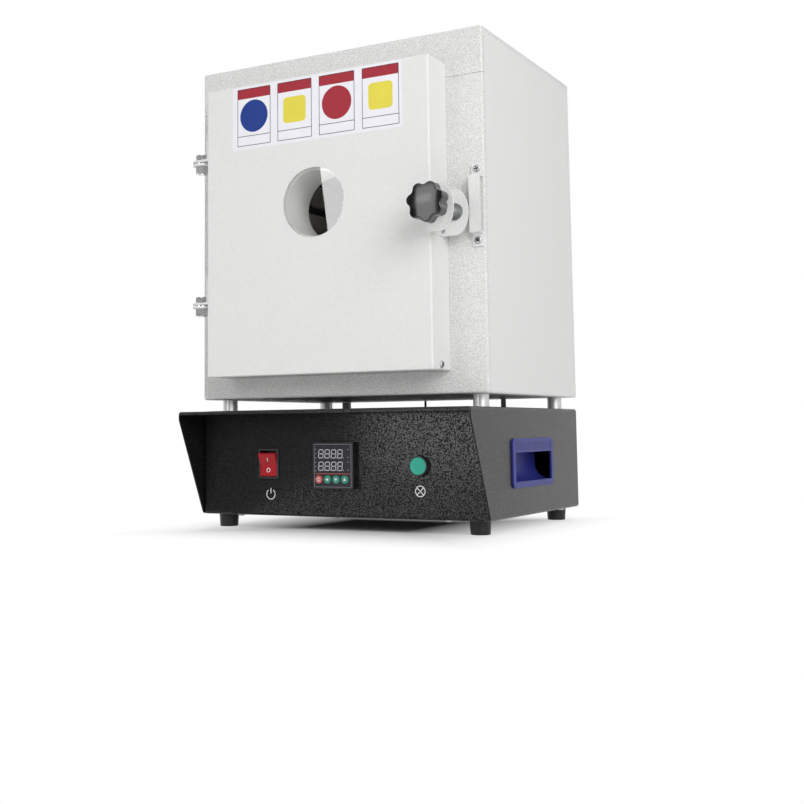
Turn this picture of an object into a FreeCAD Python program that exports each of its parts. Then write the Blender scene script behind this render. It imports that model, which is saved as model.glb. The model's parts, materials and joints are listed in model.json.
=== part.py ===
import FreeCAD, Part
import math
import os

V = FreeCAD.Vector

# A bench burnout furnace. X runs to the right, Y to the back, Z up, all in millimetres.
# While it is built, Y is measured from the front edge of the hood. The finished part is moved
# so that its origin is under the middle of its box, at the bottom of the feet.

# Control base: folded sheet
base_width = 340.0
base_rear_step = 0.5
base_height = 110.5
base_sheet = 1.5
base_bend = 3.2
base_flange = 15.0
hood_reach = 46.4
hood_lip = 4.0
panel_bend = 2.4
floor_wall = 13.0
floor_vent_rows = (95.0, 165.0)
floor_vent_length = 40.0
floor_vent_reach = 90.0
rear_opening = (20.0, 24.0, 27.0)
rear_panel_cover = (14.0, 6.0, 10.5)
rear_vent_span = (56.0, 176.0)
rear_vent_height = 32.0
rear_vent_count = 10
vent_width = 4.6

# Feet and spacer posts
foot_height = 14.0
foot_top_radius = 10.8
foot_bottom_radius = 9.8
foot_inset = 20.5
foot_recess_radius = 4.6
foot_recess_depth = 8.0
post_height = 13.0
post_radius = 8.0
post_inset_x = 19.0
post_inset_front = 24.5
post_inset_rear = 22.0
post_bolt_radius = 3.0
post_bolt_flats = 10.0
post_bolt_head = 4.0
post_nut_height = 5.0

# Chamber housing: folded sheet
housing_height = 367.5
rear_air_gap = 13.6
housing_setback = 46.9
housing_sheet = 1.2
housing_bend = 2.5
housing_flange = 20.0
housing_seam = 0.4
cover_lip = 48.6
corner_reach = 6.0
rear_cover_inset = 4.0

# Heated chamber in ceramic fibre board
chamber_width = 150.0
chamber_height = 150.0
chamber_depth = 200.0
wall_board = 45.0
roof_backing = 34.0
rear_board = 35.0
side_air_gap = 15.0
roof_air_gap = 15.0
floor_backing_inset = 32.0
mouth_margin = 11.0
groove_width = 9.4
coil_radius = 4.0
coil_runs = 4
coil_pitch = 34.0
coil_front_margin = 22.0
coil_rear_margin = 14.0
coil_tail_reach = 5.0
link_end = 9.0
link_sheet = 2.0
link_half_height = 5.0
link_gap = 0.1

# Thermocouple and the leads between the housing and the base
thermocouple_x = 60.0
thermocouple_rise = 22.0
thermocouple_reach = 28.0
thermocouple_radius = 3.0
thermocouple_head = (20.0, 11.0, 24.0)
conduit_x = -129.5
conduit_radius = 5.5
thermo_lead_x = 83.0
thermo_lead_radius = 3.0
earth_wire_x = -19.0
earth_wire_radius = 1.4
lead_bottom_drop = 29.5
lead_bottom_run = 45.0
lead_bend = 24.0
heater_lead_drop = 28.0
heater_lead_turn = 50.0
thermo_lead_drop = 70.0
thermo_lead_slant = 60.0
earth_wire_end = 6.0
earth_lug_side = 4.0
earth_lug_front = 5.0
earth_lug_sheet = 1.5

# Door
door_left_margin = 34.0
door_right_margin = 40.0
door_height = 310.5
door_depth = 40.2
door_bottom = 160.0
door_sheet = 1.5
door_bend = 2.0
door_gap = 0.5
back_plate_sheet = 1.2
back_plate_flange = 26.0
plug_width = 142.0
plug_reach = 8.5
window_radius = 36.3
glass_radius = 40.0
glass_thickness = 3.0
glass_seat = 0.2
tube_bore_radius = 34.5

# Hinges
hinge_side_gap = 14.0
hinge_axis_depth = 10.8
hinge_heights = (238.0, 394.0)
hinge_tab = 2.0
hinge_tab_radius = 10.0
hinge_leaf_height = 30.0
hinge_washer = 1.6
hinge_bolt_radius = 4.0
hinge_head_height = 6.5
hinge_nut_height = 8.0
hex_across_flats = 13.0

# Latch
latch_z = 315.0
latch_offset = 14.5
bracket_sheet = 2.0
bracket_half_height = 23.0
bracket_nose = 13.6
bracket_front_overhang = 9.2
bracket_rear_inset = 12.7
bracket_screw_inset = 6.0
bracket_screw_step = 17.4
door_screw_depth = 19.1
door_screw_rise = 5.7
shaft_radius = 4.0
knob_radius = 19.65
knob_lobes = 7
knob_lobe_radius = 5.75
knob_valley_radius = 5.0
knob_thickness = 15.0
knob_hub_radius = 9.0
knob_hub_length = 20.4
knob_edge = 1.4
knob_turned = 22.0
knob_dome_radius = 115.0
collar_radius = 8.3
collar_thickness = 1.6
spacer_radius = 6.0
tongue_reach = 19.5
tongue_half_width = 7.0
tongue_thickness = 3.0
strike_width = 11.5
strike_edge_gap = 1.5
strike_sheet = 2.0
strike_standoff = 9.9
strike_bottom = 294.0
strike_top = 352.0
strike_tab = 12.5

# Controls on the panel
device_z = 67.0
switch_x = -83.5
switch_z = 68.5
switch_width = 25.0
switch_height = 31.5
switch_bezel = 2.0
switch_wall = 0.7
switch_body_depth = 24.0
rocker_width = 20.6
rocker_half_height = 12.4
rocker_sweep = 13.9
rocker_tilt = 11.0
rocker_pivot_depth = 5.2
rocker_pin_radius = 1.5
controller_x = -1.5
controller_size = 48.0
controller_proud = 7.3
controller_body = 44.8
controller_length = 76.0
controller_plate_margin = 1.6
controller_plate_thickness = 0.8
key_radius = 4.2
key_first_x = -16.35
key_pitch = 10.25
key_rise = 9.9
key_travel = 0.8
key_length = 3.0
lamp_x = 94.5
lamp_bezel_radius = 10.7
lamp_bezel_height = 5.0
lamp_lens_radius = 8.75
lamp_barrel_radius = 8.0
lamp_barrel_length = 28.0

# Carrying handles in the sides of the base
handle_width = 116.0
handle_height = 50.0
handle_proud = 2.0
handle_centre_y = 158.5
handle_centre_z = 68.0
handle_corner = 6.0
handle_top_band = 14.2
handle_side_band = 6.6
handle_bottom_band = 6.4
handle_pocket_depth = 20.0
handle_wall = 2.0
handle_rib_count = 4
handle_rib_pitch = 2.1
handle_rib_depth = 0.6

# Power inlet in the rear of the base
inlet_x = -105.0
inlet_z = 76.0
inlet_flange = (50.0, 24.0)
inlet_flange_thickness = 2.3
inlet_mouth = (24.6, 16.8)
inlet_mouth_depth = 16.5
inlet_body = (27.4, 19.6)
inlet_body_depth = 26.0
inlet_screw_pitch = 40.0
pin_size = (2.0, 4.0)
pin_setback = 4.6
pin_spread = 7.0

# Electrical pieces inside the base
sink_width = 80.0
sink_length = 90.0
sink_height = 30.0
sink_fins = 9
sink_plate = 5.0
relay_size = (45.0, 58.0, 27.0)
relay_slot = 11.0
relay_slot_depth = 9.0
terminal_size = (66.0, 24.0, 18.0)
inner_side_room = 92.0
sink_place = 150.0
terminal_place = 165.0

# Fits and fasteners
fit = 0.2
seat_gap = 0.3
running = 0.08
screw_head_radius = 3.8
screw_head_height = 1.8
screw_shank_radius = 2.0
screw_edge = 6.5
cover_screw_inset = 12.0
rear_screw_inset = 13.0
panel_screw_insets = (45.0, 49.0)
panel_screw_middle = -8.0
side_screw_inset = 42.0
rear_screw_low = 36.0
rear_screw_high = 22.0

# Places worked out from the sizes
base_bottom = foot_height
base_top = base_bottom + base_height
housing_bottom = base_top + post_height
housing_top = housing_bottom + housing_height
housing_front = housing_setback
half_base = base_width / 2
seam_z = housing_top - cover_lip
door_back = housing_front - door_gap
door_front = door_back - door_depth
door_left = -half_base + door_left_margin
door_right = half_base - door_right_margin
window_x = (door_left + door_right) / 2
door_top = door_bottom + door_height
plug_face = door_back + plug_reach
board_front = housing_front + housing_sheet
chamber_back = plug_face + chamber_depth
board_back = chamber_back + rear_board
housing_back = board_back + rear_air_gap
base_depth = housing_back - base_rear_step
lead_y = board_back + conduit_radius + fit
half_mouth = chamber_width / 2
chamber_centre_z = housing_top - roof_air_gap - roof_backing - wall_board - chamber_height / 2
thermocouple_z = chamber_centre_z + thermocouple_rise
mouth_bottom = chamber_centre_z - chamber_height / 2
mouth_top = chamber_centre_z + chamber_height / 2
hinge_x = door_left - hinge_side_gap
hinge_y = door_front + hinge_axis_depth
latch_x = door_right + latch_offset
bracket_front = door_front - bracket_front_overhang
bracket_back = door_back - bracket_rear_inset
knob_back = bracket_front - seat_gap
knob_front = knob_back - knob_hub_length - knob_thickness
strike_right = half_base - strike_edge_gap
strike_left = strike_right - strike_width
rear_reach = housing_back + housing_sheet + screw_head_height
box_centre_y = (knob_front + rear_reach) / 2


def block(x0, x1, y0, y1, z0, z1):
    return Part.makeBox(x1 - x0, y1 - y0, z1 - z0, V(x0, y0, z0))


def rod(radius, start, direction, length):
    return Part.makeCylinder(radius, length, V(*start), V(*direction))


def tube(outer, inner, start, direction, length):
    return rod(outer, start, direction, length).cut(rod(inner, start, direction, length))


def joined(pieces):
    whole = pieces[0]
    for piece in pieces[1:]:
        whole = whole.fuse(piece)
    return whole.removeSplitter()


def edges_along(shape, direction):
    axis = V(*direction)
    found = []
    for edge in shape.Edges:
        run = edge.Vertexes[-1].Point - edge.Vertexes[0].Point
        if run.Length > 0 and abs(run.normalize().dot(axis)) > 0.999:
            found.append(edge)
    return found


def rounded_block(limits, radius, direction):
    shape = block(*limits)
    return shape.makeFillet(radius, edges_along(shape, direction))


def rounded_all(limits, radius):
    shape = block(*limits)
    if radius < 0.05:
        return shape
    return shape.makeFillet(radius, shape.Edges)


def folded_shell(limits, sheet, bend, open_sides=()):
    """Sheet box with bent edges. A side is numbered x0, x1, y0, y1, z0, z1."""
    grown = list(limits)
    for side in open_sides:
        grown[side] += 4 * bend if side % 2 else -4 * bend
    inside = [value + (-sheet if side % 2 else sheet) for side, value in enumerate(grown)]
    shell = rounded_all(grown, bend).cut(rounded_all(inside, bend - sheet))
    return shell.common(block(*limits)) if open_sides else shell


def bent_strip(corners, sheet, bend):
    """Face of a folded strip in the YZ plane: corners are on one side, the sheet lies to its left."""
    count = len(corners)
    runs = []
    for start, end in zip(corners, corners[1:]):
        length = math.hypot(end[0] - start[0], end[1] - start[1])
        runs.append(((end[0] - start[0]) / length, (end[1] - start[1]) / length))
    near, far = [], []
    for index in range(count):
        before = runs[max(index - 1, 0)]
        after = runs[min(index, count - 2)]
        turn = math.atan2(before[0] * after[1] - before[1] * after[0],
                          before[0] * after[0] + before[1] * after[1])
        miter = sheet * math.tan(turn / 2)
        point = corners[index]
        offset = (point[0] - before[1] * sheet - before[0] * miter,
                  point[1] + before[0] * sheet - before[1] * miter)
        near.append((point, before, after, turn, bend + (sheet if turn > 0 else 0)))
        far.append((offset, before, after, turn, bend + (sheet if turn < 0 else 0)))

    def side(points):
        edges, last = [], V(0, *points[0][0])
        for point, before, after, turn, radius in points[1:-1]:
            trim = radius * math.tan(abs(turn) / 2)
            start = V(0, point[0] - before[0] * trim, point[1] - before[1] * trim)
            end = V(0, point[0] + after[0] * trim, point[1] + after[1] * trim)
            normal = (-before[1], before[0]) if turn > 0 else (before[1], -before[0])
            centre = start + V(0, normal[0], normal[1]) * radius
            middle = V(0, *point) - centre
            middle = centre + middle.normalize() * radius
            edges += [Part.makeLine(last, start), Part.Arc(start, middle, end).toShape()]
            last = end
        edges.append(Part.makeLine(last, V(0, *points[-1][0])))
        return edges

    ends = [Part.makeLine(V(0, *near[0][0]), V(0, *far[0][0])),
            Part.makeLine(V(0, *near[-1][0]), V(0, *far[-1][0]))]
    edges = side(near) + side(far) + ends
    return Part.Face(Part.Wire(Part.__sortEdges__(edges)))


def polygon_yz(points, x0, x1):
    wire = Part.makePolygon([V(x0, y, z) for y, z in points + points[:1]])
    return Part.Face(wire).extrude(V(x1 - x0, 0, 0))


def hexagon(centre, across_flats, height):
    corner = across_flats / math.sqrt(3)
    turns = [math.radians(60 * step) for step in range(7)]
    x, y, z = centre
    wire = Part.makePolygon([V(x + corner * math.cos(a), y + corner * math.sin(a), z) for a in turns])
    prism = Part.Face(wire).extrude(V(0, 0, height))
    shoulder = Part.makeCone(corner + height - 0.9, corner - 0.9, height, V(x, y, z), V(0, 0, 1))
    return prism.common(shoulder)


def pan_screw(place, outward, shank):
    """Pan head screw: the head stands outward from the seat, the shank goes in."""
    seat = V(*place)
    out = V(*outward)
    rim = screw_head_height * 0.5
    head = Part.makeCylinder(screw_head_radius, rim, seat, out)
    dome = Part.makeCone(screw_head_radius, screw_head_radius * 0.62, screw_head_height - rim,
                         seat + out * rim, out)
    return head.fuse([dome, Part.makeCylinder(screw_shank_radius, shank, seat, out * -1)])


def along(start, end, count):
    return [start + (end - start) * step / (count - 1) for step in range(count)]


def slots(xs, z0, z1, y0, y1, width):
    return [rounded_block((x - width / 2, x + width / 2, y0, y1, z0, z1), width / 2 - 0.05, (0, 1, 0))
            for x in xs]


# Places that several pieces share
foot_places = [(side * (half_base - foot_inset), y) for side in (-1, 1)
               for y in (hood_reach + foot_inset, base_depth - foot_inset)]
post_places = [(side * (half_base - post_inset_x), y) for side in (-1, 1)
               for y in (housing_front + post_inset_front, housing_back - post_inset_rear)]
panel_screw_places = [(x, hood_reach + base_flange - screw_edge)
                      for x in (-half_base + panel_screw_insets[0], panel_screw_middle,
                                half_base - panel_screw_insets[1])]
side_screw_places = [(side * (half_base - base_flange / 2), y) for side in (-1, 1)
                     for y in (hood_reach + side_screw_inset, base_depth - side_screw_inset)]
rear_panel_screws = [(side * (half_base - rear_screw_inset), z) for side in (-1, 1)
                     for z in (base_bottom + rear_screw_low, base_top - rear_screw_high)]
cover_low = housing_bottom + cover_screw_inset
cover_high = housing_top - cover_screw_inset
cover_screws = [(side * (half_base - cover_screw_inset), z) for side in (-1, 1)
                for z in along(cover_low, cover_high, 3)]
cover_screws += [(0.0, cover_low), (0.0, cover_high)]
inlet_screw_xs = [inlet_x + side * inlet_screw_pitch / 2 for side in (-1, 1)]
key_places = [(controller_x + key_first_x + key_pitch * index,
               device_z - controller_size / 2 + key_rise) for index in range(4)]


def handle_hole(side):
    inner = half_base - base_sheet - 1
    half_w = handle_width / 2 - handle_side_band + handle_wall + fit
    low = handle_centre_z - handle_height / 2 + handle_bottom_band - handle_wall - fit
    high = handle_centre_z + handle_height / 2 - handle_top_band + handle_wall + fit
    ends = sorted((side * inner, side * (half_base + 1)))
    return block(ends[0], ends[1], handle_centre_y - half_w, handle_centre_y + half_w, low, high)


def lead_holes(z0, z1):
    spec = ((conduit_x, conduit_radius), (thermo_lead_x, thermo_lead_radius),
            (earth_wire_x, earth_wire_radius))
    return [rod(radius + fit, (x, lead_y, z0), (0, 0, 1), z1 - z0) for x, radius in spec]


def bolt_holes(z0, z1):
    return [rod(post_bolt_radius + fit, (x, y, z0), (0, 0, 1), z1 - z0) for x, y in post_places]


# Control base

def make_base_shell():
    limits = (-half_base, half_base, 0, base_depth, base_bottom, base_top)
    shell = folded_shell(limits, base_sheet, base_bend)
    inner = half_base - base_sheet
    lip_bottom = base_top - hood_lip
    flange_start = hood_reach + base_flange + 1
    opening_side, opening_low, opening_high = rear_opening
    cuts = [
        block(-inner, inner, -1, base_sheet + base_bend, base_bottom - 1, lip_bottom),
        block(-inner, inner, -1, flange_start, base_bottom - 1, base_bottom + base_bend),
        block(-inner + base_flange, inner - base_flange, flange_start - 1, base_depth - base_flange,
              base_bottom - 1, base_bottom + base_bend),
        block(-inner + opening_side, inner - opening_side, base_depth - 2 * base_bend,
              base_depth + 1, base_bottom + opening_low, base_top - opening_high),
    ]
    cheek = [(-1, base_bottom - 1), (-1, lip_bottom), (0, lip_bottom), (hood_reach, base_bottom),
             (hood_reach, base_bottom - 1)]
    cuts.append(polygon_yz(cheek, -half_base - 1, half_base + 1))
    cuts += [handle_hole(side) for side in (-1, 1)]
    cuts += bolt_holes(base_top - 3, base_top + 1) + lead_holes(base_top - 3, base_top + 1)
    cuts += [rod(screw_shank_radius + fit, (x, y, base_bottom - 1), (0, 0, 1), 4)
             for x, y in side_screw_places]
    cuts += [rod(screw_shank_radius + fit, (x, base_depth - 3, z), (0, 1, 0), 4)
             for x, z in rear_panel_screws]
    for cut in cuts:
        shell = shell.cut(cut)
    return shell


def make_control_panel():
    inner = half_base - base_sheet
    limits = (-inner, inner, hood_reach, hood_reach + base_flange, base_bottom, base_top - base_sheet)
    panel = folded_shell(limits, base_sheet, panel_bend, open_sides=(3,))
    depth = (hood_reach - 1, hood_reach + base_sheet + 1)
    switch_half = switch_width / 2 - switch_wall + fit
    switch_high = switch_height / 2 - switch_wall + fit
    body_half = controller_body / 2 + fit
    cuts = [
        block(switch_x - switch_half, switch_x + switch_half, *depth,
              switch_z - switch_high, switch_z + switch_high),
        block(controller_x - body_half, controller_x + body_half, *depth,
              device_z - body_half, device_z + body_half),
        rod(lamp_barrel_radius + fit, (lamp_x, hood_reach - 1, device_z), (0, 1, 0), base_sheet + 2),
    ]
    cuts += [rod(screw_shank_radius + fit, (x, y, base_bottom - 1), (0, 0, 1), 4)
             for x, y in panel_screw_places]
    for cut in cuts:
        panel = panel.cut(cut)
    return panel


def make_base_floor():
    side = half_base - 2 * base_sheet - fit
    limits = (-side, side, hood_reach + base_sheet, base_depth - base_sheet,
              base_bottom + base_sheet, base_bottom + base_sheet + floor_wall)
    floor = folded_shell(limits, base_sheet, panel_bend, open_sides=(5,))
    holes = foot_places + panel_screw_places + side_screw_places
    cuts = [rod(screw_shank_radius + fit, (x, y, base_bottom), (0, 0, 1), 6) for x, y in holes]
    half_width, half_length = vent_width / 2, floor_vent_length / 2
    for row in floor_vent_rows:
        y = hood_reach + row
        for x in along(-floor_vent_reach, floor_vent_reach, 7):
            limits = (x - half_width, x + half_width, y - half_length, y + half_length,
                      base_bottom, base_bottom + 6)
            cuts.append(rounded_block(limits, half_width - 0.1, (0, 0, 1)))
    for cut in cuts:
        floor = floor.cut(cut)
    return floor


def make_base_rear_panel():
    back = base_depth - base_sheet
    opening_side, opening_low, opening_high = rear_opening
    cover_side, cover_low, cover_high = rear_panel_cover
    half_panel = half_base - base_sheet - opening_side + cover_side
    panel = block(-half_panel, half_panel, back - base_sheet, back,
                  base_bottom + opening_low - cover_low, base_top - opening_high + cover_high)
    half_w, half_h = inlet_body[0] / 2 + fit, inlet_body[1] / 2 + fit
    cuts = [block(inlet_x - half_w, inlet_x + half_w, back - 3, back + 1,
                  inlet_z - half_h, inlet_z + half_h)]
    vent_xs = along(inlet_x + rear_vent_span[0], inlet_x + rear_vent_span[1], rear_vent_count)
    cuts += slots(vent_xs, inlet_z - rear_vent_height / 2, inlet_z + rear_vent_height / 2,
                  back - 3, back + 1, vent_width)
    cuts += [rod(screw_shank_radius + fit, (x, back - 3, z), (0, 1, 0), 4) for x, z in rear_panel_screws]
    cuts += [rod(screw_shank_radius + fit, (x, back - 3, inlet_z), (0, 1, 0), 4) for x in inlet_screw_xs]
    for cut in cuts:
        panel = panel.cut(cut)
    return panel


def make_rubber_feet():
    feet = []
    for x, y in foot_places:
        foot = Part.makeCone(foot_bottom_radius, foot_top_radius, foot_height, V(x, y, 0), V(0, 0, 1))
        lowest = [edge for edge in foot.Edges if edge.BoundBox.ZMax < 0.01]
        foot = foot.makeFillet(0.8, lowest)
        foot = foot.cut(rod(foot_recess_radius, (x, y, 0), (0, 0, 1), foot_recess_depth))
        feet.append(foot.cut(rod(screw_shank_radius + fit, (x, y, 0), (0, 0, 1), foot_height)))
    return Part.makeCompound(feet)


def make_base_screws():
    """Foot screws in their recesses, and the screws of the floor, the rear panel and the inlet."""
    screws = []
    for x, y in foot_places:
        shank = foot_height - foot_recess_depth + 3 * base_sheet + 3
        screws.append(pan_screw((x, y, foot_recess_depth), (0, 0, -1), shank))
    for x, y in panel_screw_places + side_screw_places:
        screws.append(pan_screw((x, y, base_bottom), (0, 0, -1), 2 * base_sheet + 4))
    for x, z in rear_panel_screws:
        screws.append(pan_screw((x, base_depth, z), (0, 1, 0), 2 * base_sheet + 4))
    for x in inlet_screw_xs:
        seat = base_depth - base_sheet + inlet_flange_thickness
        screws.append(pan_screw((x, seat, inlet_z), (0, 1, 0), inlet_flange_thickness + base_sheet + 4))
    return Part.makeCompound(screws)


def make_handle(side):
    """Moulded handle with a scooped pocket that is open at both ends behind the flange.

    Built for the right side and mirrored for the left.
    """
    y0, y1 = handle_centre_y - handle_width / 2, handle_centre_y + handle_width / 2
    z0, z1 = handle_centre_z - handle_height / 2, handle_centre_z + handle_height / 2
    flange = rounded_block((half_base, half_base + handle_proud, y0, y1, z0, z1), handle_corner, (1, 0, 0))
    outer = [edge for edge in flange.Edges if edge.BoundBox.XMin > half_base + handle_proud - 0.01]
    flange = flange.makeFillet(0.7, outer)
    pocket_low, pocket_high = z0 + handle_bottom_band, z1 - handle_top_band
    pocket_y = (y0 + handle_side_band, y1 - handle_side_band)
    deep = half_base + handle_proud - handle_pocket_depth
    face = half_base + handle_proud

    def scoop(grow, reach, over):
        low, high = pocket_low - grow, pocket_high + grow
        back = deep - grow
        radius = handle_pocket_depth * 0.8 + grow
        start, end = V(back, 0, low + radius), V(back + radius, 0, low)
        middle = V(back + radius, 0, low + radius) + V(-1, 0, -1).normalize() * radius
        edges = [Part.makeLine(V(reach, 0, high), V(back, 0, high)), Part.makeLine(V(back, 0, high), start),
                 Part.Arc(start, middle, end).toShape(), Part.makeLine(end, V(reach, 0, low)),
                 Part.makeLine(V(reach, 0, low), V(reach, 0, high))]
        shape = Part.Face(Part.Wire(edges)).extrude(V(0, pocket_y[1] - pocket_y[0] + 2 * over, 0))
        shape.translate(V(0, pocket_y[0] - over, 0))
        return shape

    trough = scoop(handle_wall, half_base, handle_wall)
    handle = flange.fuse(trough).cut([scoop(0, face + 1, 0), scoop(0, half_base, handle_wall + 1)])
    for index in range(handle_rib_count):
        z = pocket_high + 2.6 + index * handle_rib_pitch
        groove = block(face - handle_rib_depth, face + 1, pocket_y[0] + 1, pocket_y[1] - 1, z, z + 0.9)
        handle = handle.cut(groove)
    handle = handle.removeSplitter()
    return handle if side > 0 else handle.mirror(V(0, 0, 0), V(1, 0, 0))


# Posts and leads between the base and the housing

def make_spacer_posts():
    posts = []
    for x, y in post_places:
        post = rod(post_radius, (x, y, base_top), (0, 0, 1), post_height)
        posts.append(post.cut(rod(post_bolt_radius + fit, (x, y, base_top), (0, 0, 1), post_height)))
    return Part.makeCompound(posts)


def make_post_bolts():
    """Hex bolts up through the base top, the post and the housing floor, each with its nut."""
    bolts = []
    seat = base_top - base_sheet
    top = housing_bottom + housing_sheet
    for x, y in post_places:
        shank = rod(post_bolt_radius, (x, y, seat), (0, 0, 1), top + post_nut_height + 2 - seat)
        head = hexagon((x, y, seat - post_bolt_head), post_bolt_flats, post_bolt_head)
        bolts.append(joined([head, shank, hexagon((x, y, top), post_bolt_flats, post_nut_height)]))
    return Part.makeCompound(bolts)


def swept_lead(points, radius, bend):
    """Round lead along straight runs joined by tangent arcs."""
    edges, last = [], V(*points[0])
    for before, corner, after in zip(points, points[1:], points[2:]):
        corner = V(*corner)
        to_back = (V(*before) - corner).normalize()
        to_next = (V(*after) - corner).normalize()
        half = to_back.getAngle(to_next) / 2
        trim = bend / math.tan(half)
        start, end = corner + to_back * trim, corner + to_next * trim
        centre = corner + (to_back + to_next).normalize() * (bend / math.sin(half))
        middle = centre + (corner - centre).normalize() * bend
        edges += [Part.makeLine(last, start), Part.Arc(start, middle, end).toShape()]
        last = end
    edges.append(Part.makeLine(last, V(*points[-1])))
    path = Part.Wire(edges)
    first = V(*points[0])
    section = Part.Wire(Part.makeCircle(radius, first, V(*points[1]) - first))
    return path.makePipeShell([section], True, False)


def coil_heights():
    middle = (coil_runs - 1) / 2
    return [chamber_centre_z + (index - middle) * coil_pitch for index in range(coil_runs)]


coil_x = half_mouth + groove_width / 2
coil_front = board_front + coil_front_margin
coil_back = chamber_back - coil_rear_margin


def make_heater_lead():
    """Sleeved heating lead, from the lowest coil tail down into the base."""
    low_tail = coil_heights()[0]
    turn_z = housing_bottom + heater_lead_turn
    low = base_top - lead_bottom_drop
    points = [(-coil_x, lead_y, low_tail - coil_radius - seat_gap), (-coil_x, lead_y, low_tail - heater_lead_drop),
              (conduit_x, lead_y, turn_z), (conduit_x, lead_y, low),
              (conduit_x, lead_y - lead_bottom_run, low)]
    return swept_lead(points, conduit_radius, lead_bend)


def make_thermocouple_lead():
    head_bottom = thermocouple_z - thermocouple_head[2] / 2
    low = base_top - lead_bottom_drop
    turn_z = head_bottom - thermo_lead_drop
    points = [(thermocouple_x, lead_y, head_bottom), (thermocouple_x, lead_y, turn_z),
              (thermo_lead_x, lead_y, turn_z - thermo_lead_slant), (thermo_lead_x, lead_y, low),
              (thermo_lead_x, lead_y - lead_bottom_run, low)]
    return swept_lead(points, thermo_lead_radius, lead_bend)


def make_chamber_leads():
    return Part.makeCompound([make_heater_lead(), make_thermocouple_lead()])


def make_earth_wire():
    """Bare earth wire with a lug on the housing floor and one under the base top."""
    floor_top = housing_bottom + housing_sheet
    roof = base_top - base_sheet
    wire = rod(earth_wire_radius, (earth_wire_x, lead_y, roof - earth_wire_end), (0, 0, 1),
               floor_top - roof + 2 * earth_wire_end)
    lugs = [block(earth_wire_x - earth_lug_side, earth_wire_x + earth_lug_side, lead_y - earth_lug_front,
                  lead_y + earth_lug_side, z, z + earth_lug_sheet)
            for z in (floor_top, roof - earth_lug_sheet)]
    return joined([wire] + lugs)


# Chamber housing

def housing_shell():
    limits = (-half_base, half_base, housing_front, housing_back, housing_bottom, housing_top)
    shell = folded_shell(limits, housing_sheet, housing_bend)
    window = half_base - housing_flange
    shell = shell.cut(block(-window, window, housing_back - 2 * housing_bend, housing_back + 1,
                            housing_bottom + housing_flange, housing_top - housing_flange))
    for x, z in cover_screws:
        shell = shell.cut(rod(screw_shank_radius + fit, (x, housing_back - 3, z), (0, 1, 0), 4))
    return shell


whole_housing = housing_shell()
side_low = housing_bottom + corner_reach
side_high = housing_top - corner_reach
corner_y = housing_front + corner_reach


def make_front_panel():
    region = block(-half_base - 1, half_base + 1, housing_front - 1, corner_y,
                   housing_bottom - 1, seam_z - housing_seam / 2)
    panel = whole_housing.common(region)
    half = half_mouth + mouth_margin
    mouth = block(-half, half, housing_front - 1, housing_front + 3,
                  chamber_centre_z - half, chamber_centre_z + half)
    panel = panel.cut(mouth)
    for z in strike_screw_heights():
        panel = panel.cut(rod(screw_shank_radius + fit, (strike_middle(), housing_front - 1, z), (0, 1, 0), 4))
    return panel


def make_top_cover():
    lip = block(-half_base - 1, half_base + 1, housing_front - 1, corner_y,
                seam_z + housing_seam / 2, housing_top + 1)
    top = block(-half_base - 1, half_base + 1, corner_y, housing_back + 1, side_high, housing_top + 1)
    rear = block(-half_base + housing_flange, half_base - housing_flange, housing_back - 10,
                 housing_back + 1, side_high - housing_flange, side_high)
    return whole_housing.common(joined([lip, top, rear]))


def make_side_panel(side):
    ends = sorted((side * (half_base - housing_flange), side * (half_base + 1)))
    region = block(ends[0], ends[1], corner_y, housing_back + 1, side_low, side_high)
    return whole_housing.common(region)


def make_housing_floor():
    plate = block(-half_base - 1, half_base + 1, corner_y, housing_back + 1, housing_bottom - 1, side_low)
    rear = block(-half_base + housing_flange, half_base - housing_flange, housing_back - 10,
                 housing_back + 1, side_low, side_low + housing_flange)
    floor = whole_housing.common(joined([plate, rear]))
    for hole in bolt_holes(housing_bottom - 1, housing_bottom + 3):
        floor = floor.cut(hole)
    for hole in lead_holes(housing_bottom - 1, housing_bottom + 3):
        floor = floor.cut(hole)
    return floor


def make_rear_cover():
    half = half_base - rear_cover_inset
    limits = (-half, half, housing_back, housing_back + housing_sheet,
              housing_bottom + rear_cover_inset, housing_top - rear_cover_inset)
    cover = rounded_block(limits, 4.0, (0, 1, 0))
    for x, z in cover_screws:
        cover = cover.cut(rod(screw_shank_radius + fit, (x, housing_back - 1, z), (0, 1, 0), 4))
    return cover


def make_casing_screws():
    """Screws of the rear cover and of the strike strap."""
    seat = housing_back + housing_sheet
    screws = [pan_screw((x, seat, z), (0, 1, 0), 2 * housing_sheet + 4) for x, z in cover_screws]
    seat = housing_front - strike_sheet
    screws += [pan_screw((strike_middle(), seat, z), (0, -1, 0), strike_sheet + housing_sheet + 4)
               for z in strike_screw_heights()]
    return Part.makeCompound(screws)


# Heated chamber

def make_chamber_floor():
    half = half_mouth + wall_board
    return block(-half, half, board_front, chamber_back, mouth_bottom - wall_board, mouth_bottom)


def make_chamber_roof():
    half = half_mouth + wall_board
    return block(-half, half, board_front, chamber_back, mouth_top, mouth_top + wall_board)


def make_chamber_wall(side):
    """Side wall with the serpentine channel that holds the heating coil."""
    outer, inner = half_mouth + wall_board, half_mouth
    wall = block(inner, outer, board_front, chamber_back, mouth_bottom, mouth_top)
    heights = coil_heights()
    half = groove_width / 2
    ends = (coil_front - half, coil_back + half)
    for index, z in enumerate(heights):
        last = chamber_back + 1 if index in (0, len(heights) - 1) else ends[1]
        wall = wall.cut(block(inner - 1, inner + groove_width, ends[0], last, z - half, z + half))
    for index, (low, high) in enumerate(zip(heights, heights[1:])):
        y = ends[0] if index % 2 == 0 else ends[1] - groove_width
        wall = wall.cut(block(inner - 1, inner + groove_width, y, y + groove_width, low, high))
    wall = wall.removeSplitter()
    return wall if side > 0 else wall.mirror(V(0, 0, 0), V(1, 0, 0))


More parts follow.
